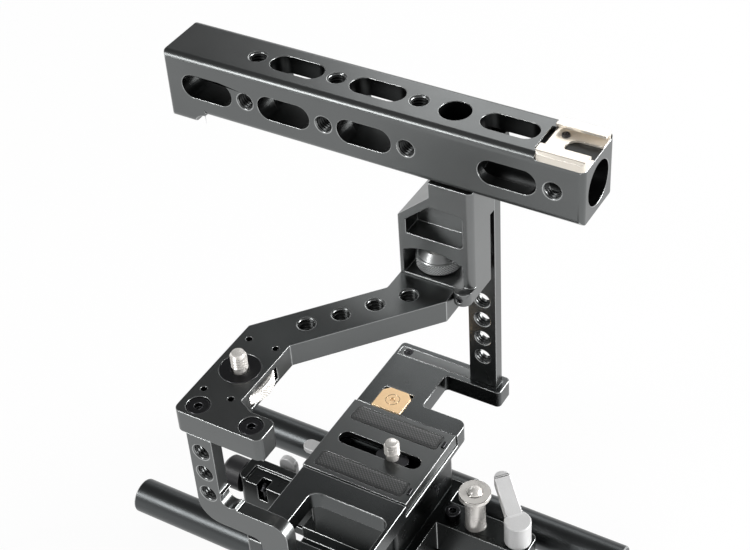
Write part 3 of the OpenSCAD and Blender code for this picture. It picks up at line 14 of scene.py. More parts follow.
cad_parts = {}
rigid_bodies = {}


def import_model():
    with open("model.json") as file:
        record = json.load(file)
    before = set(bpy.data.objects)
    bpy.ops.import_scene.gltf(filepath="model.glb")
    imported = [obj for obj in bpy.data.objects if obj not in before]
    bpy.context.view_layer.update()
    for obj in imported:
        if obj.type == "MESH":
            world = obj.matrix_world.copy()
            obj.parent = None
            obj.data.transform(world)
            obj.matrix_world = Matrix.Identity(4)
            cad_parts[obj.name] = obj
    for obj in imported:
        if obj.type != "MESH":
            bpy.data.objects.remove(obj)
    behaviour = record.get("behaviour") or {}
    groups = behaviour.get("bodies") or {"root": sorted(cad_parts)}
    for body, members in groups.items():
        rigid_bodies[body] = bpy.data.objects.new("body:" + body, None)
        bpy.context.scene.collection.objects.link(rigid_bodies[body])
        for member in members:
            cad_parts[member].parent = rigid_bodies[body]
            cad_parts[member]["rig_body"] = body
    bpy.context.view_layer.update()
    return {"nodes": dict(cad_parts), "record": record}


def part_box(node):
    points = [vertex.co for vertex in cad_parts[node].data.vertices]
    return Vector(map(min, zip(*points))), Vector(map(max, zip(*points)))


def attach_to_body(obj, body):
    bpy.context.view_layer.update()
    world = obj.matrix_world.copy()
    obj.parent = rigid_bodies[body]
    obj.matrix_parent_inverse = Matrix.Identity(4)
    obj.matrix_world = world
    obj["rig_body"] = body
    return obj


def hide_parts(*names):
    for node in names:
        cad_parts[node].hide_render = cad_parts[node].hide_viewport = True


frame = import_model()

nodes = frame["nodes"]
MM = 0.001

# %% [markdown]
# ## Camera
# The photograph was taken with a long lens from the front right and above, with a slight tilt.
# A camera can be turned by hand until it fits, but here its place was measured from the
# vanishing lines of the bars, so its axes are written straight from the three angles.

# %% Place the camera
CAMERA_AT = Vector((246.64, -376.01, 533.76)) * MM
TURN, RISE, ROLL = (math.radians(a) for a in (32.83, 40.05, -4.24))
SENSOR_MM = 36.0
# The focal length over the picture's width, both in pixels
FOCAL_SHARE = 1604 / 750
NEAREST, FARTHEST = 0.01, 20


def add_object(name, data):
    """Puts a new object with this data in the scene."""
    thing = bpy.data.objects.new(name, data)
    bpy.context.scene.collection.objects.link(thing)
    return thing


back = Vector((math.sin(TURN) * math.cos(RISE), -math.cos(TURN) * math.cos(RISE), math.sin(RISE)))
level_right = (-back).cross(Vector((0, 0, 1))).normalized()
level_up = level_right.cross(-back)
right = level_right * math.cos(ROLL) + level_up * math.sin(ROLL)
up = level_up * math.cos(ROLL) - level_right * math.sin(ROLL)

lens = bpy.data.cameras.new("camera")
lens.sensor_width = SENSOR_MM
lens.lens = SENSOR_MM * FOCAL_SHARE
lens.clip_start, lens.clip_end = NEAREST, FARTHEST
camera = add_object("camera", lens)
camera_axes = Matrix((right, up, back)).transposed().to_4x4()
camera.matrix_world = Matrix.Translation(CAMERA_AT) @ camera_axes
bpy.context.scene.camera = camera
print("lens:", round(lens.lens, 1), "mm")

# %% [markdown]
# ## Selecting by place
# Most of Blender's mesh tools act on what is selected. With no mouse, a selection is made in
# code: everything is deselected, and then the faces, edges or points that pass a test are picked.

# %% Selection helpers
SELECT_MODES = {"verts": "VERT", "edges": "EDGE", "faces": "FACE"}


def every(part):
    """The test that each vert, edge or face passes."""
    return True


def nothing(part):
    """The test that none of them passes."""
    return False


def only(piece):
    """Makes one piece the active and only selected one."""
    bpy.ops.object.select_all(action="DESELECT")
    piece.select_set(True)
    bpy.context.view_layer.objects.active = piece


def pick(piece, kind, test):
    """Enters edit mode with the verts, edges or faces selected that pass the test."""
    only(piece)
    bpy.ops.object.mode_set(mode="EDIT")
    bpy.ops.mesh.select_mode(type=SELECT_MODES[kind])
    bpy.ops.mesh.select_all(action="DESELECT")
    bpy.ops.object.mode_set(mode="OBJECT")
    mesh = piece.data
    for part in {"verts": mesh.vertices, "edges": mesh.edges, "faces": mesh.polygons}[kind]:
        part.select = test(part)
    bpy.ops.object.mode_set(mode="EDIT")


def pick_all(piece):
    """Enters edit mode with the whole piece selected."""
    only(piece)
    bpy.ops.object.mode_set(mode="EDIT")
    bpy.ops.mesh.select_all(action="SELECT")


def leave():
    bpy.ops.object.mode_set(mode="OBJECT")


def edge_points(piece, edge):
    return [piece.data.vertices[i].co for i in edge.vertices]


# %% [markdown]
# ## Shading and joining
# A mesh is made of flat faces. Smooth shading bends the light over them, except at edges sharper
# than an angle. On a machined piece only the narrow faces should bend, so the large ones are
# given more weight. Every piece ends at the origin, as the CAD nodes do.

# %% Mesh helpers
# Above this angle between two faces, smooth shading stops at the edge
SHARP_DEGREES = 50
FACE_AREA_WEIGHT = 100


def settle():
    """Moves the place, turn and scale of the selected pieces into their meshes."""
    bpy.ops.object.transform_apply(location=True, rotation=True, scale=True)


def apply_all(piece):
    """Applies the modifiers in their order."""
    only(piece)
    for name in [m.name for m in piece.modifiers]:
        bpy.ops.object.modifier_apply(modifier=name)


def smooth(piece, degrees):
    only(piece)
    bpy.ops.object.shade_smooth_by_angle(angle=math.radians(degrees))


def flatten(piece):
    """Smooth shading in which the large faces stay flat and only the narrow ones bend."""
    smooth(piece, SHARP_DEGREES)
    even = piece.modifiers.new("even", "WEIGHTED_NORMAL")
    even.mode = "FACE_AREA_WITH_ANGLE"
    even.weight = FACE_AREA_WEIGHT
    even.keep_sharp = True
    apply_all(piece)


def join(name, pieces):
    """Joins pieces into one mesh at the origin."""
    only(pieces[0])
    for piece in pieces:
        piece.select_set(True)
    if len(pieces) > 1:
        bpy.ops.object.join()
    whole = bpy.context.view_layer.objects.active
    whole.name = whole.data.name = name
    settle()
    return whole


def paint(piece, *materials):
    """Gives a piece these materials, in the order of its slots."""
    piece.data.materials.clear()
    for material in materials:
        piece.data.materials.append(material)


# %% [markdown]
# ## Shader nodes
# A material is a tree of nodes. Three small helpers keep the trees short: one links two sockets,
# one takes a number or a socket, and one adds a Math node.

# %% Node helpers
def link(tree, a, b):
    tree.links.new(a, b)


def feed(tree, socket, value):
    """Sets a number on the socket, or links another socket to it."""
    if isinstance(value, (int, float)):
        socket.default_value = value
    else:
        link(tree, value, socket)


def math_node(tree, operation, a, b):
    node = tree.nodes.new("ShaderNodeMath")
    node.operation = operation
    for socket, value in zip(node.inputs, (a, b)):
        feed(tree, socket, value)
    return node.outputs[0]


# %% [markdown]
# ## Grain
# Anodised, blasted and plated metal all share one thing: a fine grain that breaks up the
# reflection, and a slow drift in tone. Both come from noise on Object coordinates. They are
# built once as a node group, and each finish sets its own amounts. The sockets come first.

# %% Grain sockets
GRAIN_INPUTS = (
    ("Color", "NodeSocketColor", (0.1, 0.1, 0.1, 1)),
    ("Stretch", "NodeSocketVector", (1, 1, 1)),
    ("Grain", "NodeSocketFloat", 2600),
    ("Depth", "NodeSocketFloat", 0.2),
    ("Drift", "NodeSocketFloat", 0.15),
    ("Roughness", "NodeSocketFloat", 0.4),
    ("Smudge", "NodeSocketFloat", 0.06),
)
GRAIN_OUTPUTS = (
    ("Color", "NodeSocketColor"),
    ("Roughness", "NodeSocketFloat"),
    ("Normal", "NodeSocketVector"),
)

grain = bpy.data.node_groups.new("metal grain", "ShaderNodeTree")
for name, kind, value in GRAIN_INPUTS:
    grain.interface.new_socket(name, in_out="INPUT", socket_type=kind).default_value = value
for name, kind in GRAIN_OUTPUTS:
    grain.interface.new_socket(name, in_out="OUTPUT", socket_type=kind)
print("grain sockets:", len(GRAIN_INPUTS), "in,", len(GRAIN_OUTPUTS), "out")

# %% [markdown]
# ## Inside the grain group
# Three noises do the work: a fine one for the grain, a slow one for the drift and one between
# them for smudges. Each swings about zero, so an amount of zero leaves the finish plain.

# %% Grain nodes
DRIFT_SCALE, SMUDGE_SCALE = 45, 160
GRAIN_DETAIL, DRIFT_DETAIL, SMUDGE_DETAIL = 3, 2, 3
GRAIN_HEIGHT = 0.02 * MM


def group_noise(scale, detail, vector):
    noise = grain.nodes.new("ShaderNodeTexNoise")
    noise.inputs["Detail"].default_value = detail
    feed(grain, noise.inputs["Scale"], scale)
    link(grain, vector, noise.inputs["Vector"])
    return noise.outputs["Fac"]


def swing(noise, amount):
    """Noise about zero, times an amount."""
    return math_node(grain, "MULTIPLY", math_node(grain, "SUBTRACT", noise, 0.5), amount)


amount_of = grain.nodes.new("NodeGroupInput").outputs
result = grain.nodes.new("NodeGroupOutput").inputs
place = grain.nodes.new("ShaderNodeTexCoord").outputs["Object"]
stretch = grain.nodes.new("ShaderNodeMapping")
link(grain, place, stretch.inputs["Vector"])
link(grain, amount_of["Stretch"], stretch.inputs["Scale"])

fine = group_noise(amount_of["Grain"], GRAIN_DETAIL, stretch.outputs["Vector"])
drift = group_noise(DRIFT_SCALE, DRIFT_DETAIL, place)
smudge = group_noise(SMUDGE_SCALE, SMUDGE_DETAIL, place)

tone = math_node(grain, "ADD", swing(drift, amount_of["Drift"]), 1.0)
shade = math_node(grain, "ADD", tone, swing(fine, amount_of["Drift"]))
tinted = grain.nodes.new("ShaderNodeVectorMath")
tinted.operation = "SCALE"
link(grain, amount_of["Color"], tinted.inputs[0])
link(grain, shade, tinted.inputs["Scale"])
link(grain, tinted.outputs["Vector"], result["Color"])

rough = math_node(grain, "ADD", swing(smudge, amount_of["Smudge"]), amount_of["Roughness"])
link(grain, rough, result["Roughness"])
bump = grain.nodes.new("ShaderNodeBump")
bump.inputs["Distance"].default_value = GRAIN_HEIGHT
link(grain, amount_of["Depth"], bump.inputs["Strength"])
link(grain, fine, bump.inputs["Height"])
link(grain, bump.outputs["Normal"], result["Normal"])
print("grain group:", len(grain.nodes), "nodes")

# %% [markdown]
# ## Finishes
# Every finish is a Principled shader whose colour, roughness and normal come from the grain
# group. The metal amount is the same all over, so it is set on the shader itself. The black
# pieces are anodised aluminium: a dark layer over metal, so they reflect like a dark metal.

# %% Finish helper
def finish_material(name, color, metallic, roughness, grain_size=2600, depth=0.25, drift=0.15,
                    smudge=0.06, stretch_by=(1, 1, 1), mirror=0.5):
    """A material with its own amounts of grain. Stretch is a scale of the noise on each axis,
    so a small one draws the grain out along that axis."""
    material = bpy.data.materials.new(name)
    material.use_nodes = True
    tree = material.node_tree
    shader = tree.nodes["Principled BSDF"]
    shader.inputs["Metallic"].default_value = metallic
    shader.inputs["Specular IOR Level"].default_value = mirror
    use = tree.nodes.new("ShaderNodeGroup")
    use.node_tree = grain
    amounts = {"Color": (*color, 1), "Stretch": stretch_by, "Grain": grain_size, "Depth": depth,
               "Drift": drift, "Roughness": roughness, "Smudge": smudge}
    for key, value in amounts.items():
        use.inputs[key].default_value = value
    link(tree, use.outputs["Color"], shader.inputs["Base Color"])
    link(tree, use.outputs["Roughness"], shader.inputs["Roughness"])
    link(tree, use.outputs["Normal"], shader.inputs["Normal"])
    return material


# %% [markdown]
# ## The finishes of the cage
# The plates, the handle and the rods are black anodised, in tones that differ from piece to
# piece. Some tones are painted light and shade: the riser is paler for the light on its faces, the
# base plate darker for a dark reflection on its top, and the clamp and its column darker for the
# shade under the plates. The fixing screws are blackened steel, the standing screws are bare
# steel, the cold shoe is nickel plated and the locating block is brass. Turned and milled pieces
# get a grain that is drawn out one way, as their tool marks are. Most finishes have a partner for
# the broken edges, which is paler on the black pieces: partly wear, partly a painted highlight.

# %% Make the finishes
anodised = finish_material("black anodised", (0.150, 0.156, 0.156), 1.0, 0.30)
# Paler edge colour: partly the thin, worn coat at the edge, partly a painted highlight
anodised_wear_and_highlight = finish_material("anodised edge wear and highlight", (0.40, 0.41, 0.41), 1.0, 0.26, drift=0.4)
# Darker: a painted dark reflection on the base plate's top
base_painted_dark_reflection = finish_material("base anodised painted dark reflection", (0.090, 0.095, 0.096), 1.0, 0.26)
# Darker: painted shade under the plates, for the clamp and its column
clamp_painted_shade = finish_material("clamp anodised painted shade", (0.045, 0.048, 0.048), 1.0, 0.28)
# Paler: painted light on the riser's lit faces
riser_painted_light = finish_material("riser anodised painted light", (0.195, 0.20, 0.20), 1.0, 0.32)
# Darker than the anodising: painted shade inside the tapped holes and the handle's slots
thread_and_shade_black = finish_material("anodised thread and painted shade", (0.05, 0.052, 0.052), 1.0, 0.36)
rod_skin = finish_material("rod skin", (0.085, 0.09, 0.092), 1.0, 0.34, stretch_by=(0.1, 1, 1))
oxide = finish_material("black oxide", (0.045, 0.045, 0.048), 1.0, 0.36, depth=0.4)
# Paler edge colour: partly wear, partly a painted highlight
oxide_wear_and_highlight = finish_material("oxide edge wear and highlight", (0.16, 0.16, 0.17), 1.0, 0.3, drift=0.5)
steel = finish_material("turned steel", (0.90, 0.87, 0.83), 0.55, 0.27, stretch_by=(1, 1, 3),
                        depth=0.3)
steel_edge = finish_material("steel edge", (0.80, 0.77, 0.73), 1.0, 0.2)
knurled = finish_material("grey knurl", (0.48, 0.49, 0.49), 0.8, 0.3)
knurled_edge = finish_material("knurl edge", (0.7, 0.71, 0.71), 0.9, 0.3, drift=0.4)
lever_skin = finish_material("lever skin", (0.64, 0.64, 0.64), 0.25, 0.42, depth=0.6, drift=0.2)
lever_edge = finish_material("lever edge", (0.76, 0.76, 0.76), 0.25, 0.38, drift=0.3)
nickel = finish_material("nickel plate", (0.86, 0.80, 0.71), 0.55, 0.26, stretch_by=(0.15, 1, 1),
                         depth=0.2)
nickel_edge = finish_material("nickel edge", (0.76, 0.72, 0.67), 1.0, 0.22)
brass = finish_material("milled brass", (0.98, 0.68, 0.38), 0.35, 0.3, stretch_by=(0.2, 1, 1),
                        depth=0.35)
brass_edge = finish_material("brass edge", (0.92, 0.72, 0.5), 1.0, 0.22)
rubber = finish_material("black rubber", (0.012, 0.013, 0.013), 0.0, 0.3, grain_size=1800,
                         depth=0.4, mirror=1.0)
knob_skin = finish_material("knob plastic", (0.018, 0.018, 0.02), 0.0, 0.42, depth=0.5)
# Paler edge colour: partly wear, partly a painted highlight
knob_wear_and_highlight = finish_material("knob edge wear and highlight", (0.05, 0.05, 0.052), 0.0, 0.4)

# Each slot has a finish for the faces and one for the broken edges.
FINISH = {
    "anodised": (anodised, anodised_wear_and_highlight), "rod_anodised": (rod_skin, anodised_wear_and_highlight),
    "black_steel": (oxide, oxide_wear_and_highlight), "steel": (steel, steel_edge),
    "grey_metal": (knurled, knurled_edge), "lever_metal": (lever_skin, lever_edge),
    "nickel": (nickel, nickel_edge), "brass": (brass, brass_edge),
    "rubber": (rubber, rubber), "knob_black": (knob_skin, knob_wear_and_highlight),
}
# These pieces share a slot, but are painted paler or darker: painted light on the riser, a painted
# dark reflection on the base plate's top, and painted shade under the plates on the clamp and
# column.
LIGHT_AND_SHADE_FINISH = {
    "base_plate": (base_painted_dark_reflection, anodised_wear_and_highlight), "riser_block": (riser_painted_light, anodised_wear_and_highlight),
    "clamp_body": (clamp_painted_shade, anodised_wear_and_highlight), "support_column": (clamp_painted_shade, anodised_wear_and_highlight),
}
slot_of = {row["node"]: row["material_slot"] for row in frame["record"]["subparts"]}
print("finishes:", len(FINISH), "slots for", len(slot_of), "nodes")

# %% [markdown]
# ## Broken edges
# No machined edge is perfectly sharp: the milling cutter leaves a small chamfer, and anodising
# is thinner there. A copy of the CAD mesh is merged, its flat triangles are dissolved, and a Bevel
# modifier cuts the edges. The bevel's own faces take the second material, the edge finish, which
# on the black pieces is paler: partly the thinner coat, partly a painted highlight on each edge.

# %% Dress a CAD node
MERGE_WITHIN = 0.001 * MM
FLAT_DEGREES = 0.4
BROKEN_DEGREES = 28
FACE_SLOT, EDGE_SLOT = 0, 1


def attach(piece, node):
    """Puts a piece on its node's body."""
    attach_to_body(piece, nodes[node]["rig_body"])


def finish_piece(piece, node):
    """Attaches a finished piece and lets it stand for its node."""
    attach(piece, node)
    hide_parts(node)
    return piece


def merged_copy(node, name):
    copy = add_object(name, nodes[node].data.copy())
    pick_all(copy)
    bpy.ops.mesh.remove_doubles(threshold=MERGE_WITHIN)
    bpy.ops.mesh.dissolve_limited(angle_limit=math.radians(FLAT_DEGREES))
    leave()
    return copy


def bevel(piece, name, width):
    edge = piece.modifiers.new(name, "BEVEL")
    edge.width = width
    edge.segments = 2
    edge.limit_method = "ANGLE"
    edge.use_clamp_overlap = False
    return edge


def dress(node, width):
    """A copy of the node with broken edges, width in mm."""
    piece = merged_copy(node, node + "_dressed")
    paint(piece, *LIGHT_AND_SHADE_FINISH.get(node, FINISH[slot_of[node]]))
    for face in piece.data.polygons:
        face.material_index = FACE_SLOT
    edge = bevel(piece, "broken edge", width * MM)
    edge.angle_limit = math.radians(BROKEN_DEGREES)
    edge.miter_outer = "MITER_ARC"
    edge.material = EDGE_SLOT
    apply_all(piece)
    flatten(piece)
    return finish_piece(piece, node)


# %% [markdown]
# ## Every machined piece
# How wide an edge is broken depends on the piece: the smallest screws get about a tenth of a
# millimetre, a plate up to 0.4 mm, and the rods and levers a little more. The widths are in mm.

# %% Dress the pieces
EDGE_WIDTH = {
    "handle_bar": 0.25, "riser_block": 0.3, "top_arm": 0.25, "near_frame": 0.2, "far_frame": 0.25,
    "base_plate": 0.4, "camera_plate": 0.2, "clamp_body": 0.3, "support_column": 0.3,
    "rod_near": 0.6, "rod_far": 0.6, "cold_shoe": 0.12, "handle_screw": 0.3, "arm_cap_screws": 0.25,
    "near_frame_screws": 0.15, "far_beam_screw": 0.15, "far_post_screws": 0.15, "shoe_screws": 0.1,
    "accessory_disc": 0.15, "riser_stud": 0.2, "riser_set_screw": 0.08, "locating_block": 0.2,
    "locating_screw": 0.15, "plate_stop_pins": 0.12, "screw_clip": 0.08, "column_screws": 0.15,
    "clamp_screws": 0.25, "tongue_screw": 0.25, "catch_pin": 0.1, "lock_pin": 0.3,
    "rear_lever": 0.5, "front_lever": 0.5, "release_lever": 0.4, "release_pivot": 0.2,
    "rear_knob": 0.4,
}
for node, width in EDGE_WIDTH.items():
    piece = dress(node, width)
    print(node, len(piece.data.polygons), "faces")

# %% [markdown]
# ## Dark inside the handle
# The walls inside the handle's slots and bores see little light, so they get the thread's black.
# They are the faces whose middles lie deep inside the bar's box on every side, which no face of
# the rounded outer edges does. The bar is square, and a lip hangs under one end, so the box's
# underside is set from the bar's width.

# %% Darken the inner walls
DEEP = 1.2 * MM
bar = bpy.data.objects["handle_bar_dressed"]
inner_slot = len(bar.data.materials)
# Painted shade: the inner walls take the dark thread finish
bar.data.materials.append(thread_and_shade_black)
bar_low, bar_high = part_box("handle_bar")
bar_low.z = bar_high.z - (bar_high.y - bar_low.y)
inner = [face for face in bar.data.polygons
         if all(bar_low[i] + DEEP < face.center[i] < bar_high[i] - DEEP for i in range(3))]
for face in inner:
    face.material_index = inner_slot
print("dark faces inside the handle:", len(inner))

# %% [markdown]
# ## Threads
# The screws and tapped holes are quarter inch, twenty turns to the inch. A thread is one small
# section that climbs round an axis: a plane is shaped to that section, and a Screw modifier
# turns it. Its two open ends are filled, so that the ridge is a closed body.

# %% Thread helper
QUARTER_R = 3.175 * MM
PITCH = 1.27 * MM
THREAD_DEPTH = 0.5 * MM
# The foot of the section as a share of the pitch, and its crest as a share of the foot
FOOT_SHARE, CREST_SHARE = 0.94, 0.16
STEPS_PER_TURN, FEWEST_STEPS = 32, 8
# A hole's ridge starts this far inside the wall, so that the two overlap
INSIDE_WALL = 0.1 * MM
THREAD_SHARP_DEGREES = 40
QUARTER_TURN = math.radians(90)
AXES = {"X": Matrix.Rotation(QUARTER_TURN, 4, "Y"), "Y": Matrix.Rotation(-QUARTER_TURN, 4, "X"),
        "Z": Matrix.Identity(4)}


def thread(root_r, crest_r, pitch, start, axis, length):
    """A helical ridge from root_r to crest_r along an axis, from its start."""
    middle, depth = (root_r + crest_r) / 2, abs(crest_r - root_r)
    bpy.ops.mesh.primitive_plane_add(size=1, location=(middle, 0, 0), rotation=(QUARTER_TURN, 0, 0))
    ridge = bpy.context.object
    ridge.scale = (depth, pitch * FOOT_SHARE, 1)
    settle()
    pick(ridge, "verts", lambda v: abs(v.co.x - crest_r) < abs(v.co.x - root_r))
    bpy.ops.transform.resize(value=(1, 1, CREST_SHARE), center_override=(crest_r, 0, 0))
    leave()
    turns = length / pitch - 1
    screw = ridge.modifiers.new("thread", "SCREW")
    screw.angle = 2 * math.pi * turns
    screw.screw_offset = pitch * turns
    screw.steps = screw.render_steps = max(FEWEST_STEPS, round(STEPS_PER_TURN * turns))
    apply_all(ridge)
    pick_all(ridge)
    bpy.ops.mesh.fill_holes(sides=0)
    bpy.ops.mesh.normals_make_consistent(inside=False)
    leave()
    first_turn = Matrix.Translation((0, 0, pitch / 2))
    ridge.data.transform(Matrix.Translation(start) @ AXES[axis] @ first_turn)
    return ridge


def threaded_holes(name, node, holes, root_r=QUARTER_R, depth=THREAD_DEPTH, pitch=PITCH):
    """One piece with the threads of several holes, each (start, axis, length) in mm."""
    ridges = [thread(root_r + INSIDE_WALL, root_r - depth, pitch, Vector(start) * MM, axis,
                     length * MM)
              for start, axis, length in holes]
    piece = join(name, ridges)
    paint(piece, thread_and_shade_black)
    smooth(piece, THREAD_SHARP_DEGREES)
    attach(piece, node)
    print(name, len(holes), "holes,", len(piece.data.polygons), "faces")


# %% [markdown]
# ## Threads in the handle
# The handle's side holes go right through, the top ones end inside the bar. The hole nearest
# the front is cut in two by the round bore, so it has a thread in each wall.

# %% Thread the handle
# A thread keeps this far from both ends of its hole. Numbers without MM are in mm.
MOUTH = 0.5
BAR_SIDE_Y, BAR_DEPTH, BAR_MIDDLE_Z = 35, 26, 189.8
FRONT_HOLE_X, FAR_WALL_Y, FRONT_WALL_LENGTH = 58, 56.6, 3.9
BAR_MIDDLE_Y, TOP_HOLE_FLOOR_Z, TOP_HOLE_LENGTH = 48, 193.9, 8.5


def through(x, y, z, axis, wall):
    """The thread of a hole that goes right through a wall, from its mouth."""
    start = [x, y, z]
    start["XYZ".index(axis)] += MOUTH
    return start, axis, wall - 2 * MOUTH


side = [through(x, BAR_SIDE_Y, BAR_MIDDLE_Z, "Y", BAR_DEPTH) for x in (-1.2, -36.7, -72.2)]
side += [((FRONT_HOLE_X, y, BAR_MIDDLE_Z), "Y", FRONT_WALL_LENGTH)
         for y in (BAR_SIDE_Y + MOUTH, FAR_WALL_Y)]
top = [((x, BAR_MIDDLE_Y, TOP_HOLE_FLOOR_Z), "Z", TOP_HOLE_LENGTH) for x in (-2, -37.5, -73)]
threaded_holes("handle_threads", "handle_bar", side + top)

# %% [markdown]
# ## Threads in the arm, the posts and the rods
# The arm's four holes stand in a slanting row, and the posts' holes in upright ones. They all go
# right through. The rods are tapped at both ends, with a larger and coarser thread.

# %% Thread the arm, the posts and the rods
ARM_DEGREES, ARM_HOLE_PITCH, ARM_THICK = 49.8, 13.9, 10.3
FIRST_ARM_HOLE = Vector((3.3, 24.3, 118.5))
NEAR_POST_X, NEAR_POST_Y, NEAR_POST_THICK = -33.05, -68.4, 5.7
FAR_POST_X, FAR_POST_Y, FAR_POST_THICK = 19.3, 53.8, 5.1
ROD_TAP_R, ROD_TAP_DEPTH, ROD_PITCH = 5.25 * MM, 0.7 * MM, 1.75 * MM
ROD_AXIS_Z, ROD_TAP_STARTS, ROD_TAP_LENGTH = 13.5, (-104.4, 81.9), 12.5

arm_angle = math.radians(ARM_DEGREES)
step = Vector((math.cos(arm_angle), math.sin(arm_angle), 0)) * ARM_HOLE_PITCH
threaded_holes("arm_threads", "top_arm",
               [through(*(FIRST_ARM_HOLE - step * i), "Z", ARM_THICK) for i in range(4)])
threaded_holes("near_frame_threads", "near_frame",
               [through(NEAR_POST_X, NEAR_POST_Y, z, "Y", NEAR_POST_THICK)
                for z in (110.6, 99.5, 88.4)])
threaded_holes("far_frame_threads", "far_frame",
               [through(FAR_POST_X, FAR_POST_Y, z, "Y", FAR_POST_THICK)
                for z in (78.3, 88.6, 98.9, 109.2)])
for node, y in (("rod_near", -30), ("rod_far", 30)):
    threaded_holes(node + "_threads", node,
                   [((x, y, ROD_AXIS_Z), "X", ROD_TAP_LENGTH) for x in ROD_TAP_STARTS],
                   ROD_TAP_R, ROD_TAP_DEPTH, ROD_PITCH)

# %% [markdown]
# ## Threaded screws
# The accessory screw and the camera screw stand free, so their threads are seen in outline.
# Each is a turned core with a chamfered top, and the ridge is joined to it.

# %% Make a threaded screw
CORE_SIDES = 48
SAME_HEIGHT = 0.001 * MM
# The core is this much thinner than the thread, whose root lies a little inside the core
CORE_IN, ROOT_IN = 0.57 * MM, 0.62 * MM
TOP_CHAMFER, HEAD_CHAMFER = 0.7 * MM, 0.3 * MM
PLAIN_TOP = 0.5 * MM
SCREW_SHARP_DEGREES = 38


def turned_core(at, radius, length, chamfer):
    """A cylinder with a chamfered top, standing on a point."""
    bpy.ops.mesh.primitive_cylinder_add(vertices=CORE_SIDES, radius=radius, depth=length,
                                        location=at + Vector((0, 0, length / 2)))
    core = bpy.context.object
    settle()
    high = at.z + length
    pick(core, "edges", lambda e: all(abs(p.z - high) < SAME_HEIGHT for p in edge_points(core, e)))
    bpy.ops.mesh.bevel(offset=chamfer, segments=2, affect="EDGES")
    leave()
    return core


def threaded_screw(node, free, head=None):
    """Stands for a CAD screw along Z: a core, the thread on its free length, and its head, which
    is given as its radius and height."""
    low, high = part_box(node)
    middle = (low + high) / 2
    shaft_low = low.z + (head[1] if head else 0)
    at = Vector((middle.x, middle.y, shaft_low))
    core = turned_core(at, QUARTER_R - CORE_IN, high.z - shaft_low, TOP_CHAMFER)
    foot = Vector((middle.x, middle.y, high.z - free))
    ridge = thread(QUARTER_R - ROOT_IN, QUARTER_R, PITCH, foot, "Z", free - PLAIN_TOP)
    parts = [core, ridge]
    if head:
        parts.append(turned_core(Vector((middle.x, middle.y, low.z)), *head, HEAD_CHAMFER))
    piece = join(node + "_dressed", parts)
    paint(piece, steel)
    smooth(piece, SCREW_SHARP_DEGREES)
    finish_piece(piece, node)


threaded_screw("accessory_screw", free=7.9 * MM)
threaded_screw("camera_screw", free=7.1 * MM, head=(5 * MM, 2 * MM))
print("screws done")

# %% [markdown]
# ## Diamond knurls
# A diamond knurl is pressed by two crossing rollers. On a grid of squares it is made in three
# steps: poke every square, dissolve the old square edges so that diamonds are left, and poke
# again with an offset, which raises a small pyramid on each diamond.

# %% Knurl helper
# A cell of a knurl is smaller than this, in square metres
SMALL_FACE = 4e-6
EQUAL_WITHIN = 0.2 * MM


def is_diamond(piece, face):
    """A small face with four sides of the same length."""
    if len(face.vertices) != 4 or face.area >= SMALL_FACE:
        return False
    corners = [piece.data.vertices[i].co for i in face.vertices]
    sides = [(corners[i] - corners[i - 1]).length for i in range(4)]
    return all(abs(side - sides[0]) < EQUAL_WITHIN for side in sides)


def knurl(piece, test, height):
    """Turns the picked square faces into small raised pyramids on diamonds."""
    squares = {tuple(sorted(e.vertices)) for e in piece.data.edges}
    pick(piece, "faces", test)
    bpy.ops.mesh.poke()
    leave()
    faces_of = {}
    for face in piece.data.polygons:
        for key in face.edge_keys:
            faces_of.setdefault(tuple(sorted(key)), []).append(face)
    inner = {key for key, around in faces_of.items()
             if len(around) == 2 and all(len(f.vertices) == 3 for f in around) and key in squares}
    pick(piece, "edges", lambda e: tuple(sorted(e.vertices)) in inner)
    bpy.ops.mesh.dissolve_edges(use_verts=False)
    leave()
    pick(piece, "faces", lambda f: is_diamond(piece, f))
    bpy.ops.mesh.poke(offset=height)
    leave()


# %% [markdown]
# ## Knurled wheels
# The thumbwheel in the riser's window and the wheel under the arm are turned, and knurled on the
# rim so that fingers can grip them. Each starts as a drum whose rim is cut into squares. Its ends
# are extruded and inset to a chamfer and a dish, and the thumbwheel rises to a cone on top.

# %% Make the knurled wheels
KNURL_HEIGHT = 0.42 * MM
KNURL_ROWS = 4
# An edge of the drum that rises more than this is upright
UPRIGHT = 0.5 * MM
# How much of a face's normal points up or down: at least this much on an end, at most on the rim
END_NORMAL, RIM_NORMAL = 0.9, 0.05
CONE_LAND = 0.5 * MM
# The land round a dish, and the dish's depth, as shares of the width of its slope
DISH_LAND, DISH_DEPTH = 0.4, 0.35
WHEEL_SHARP_DEGREES = 24


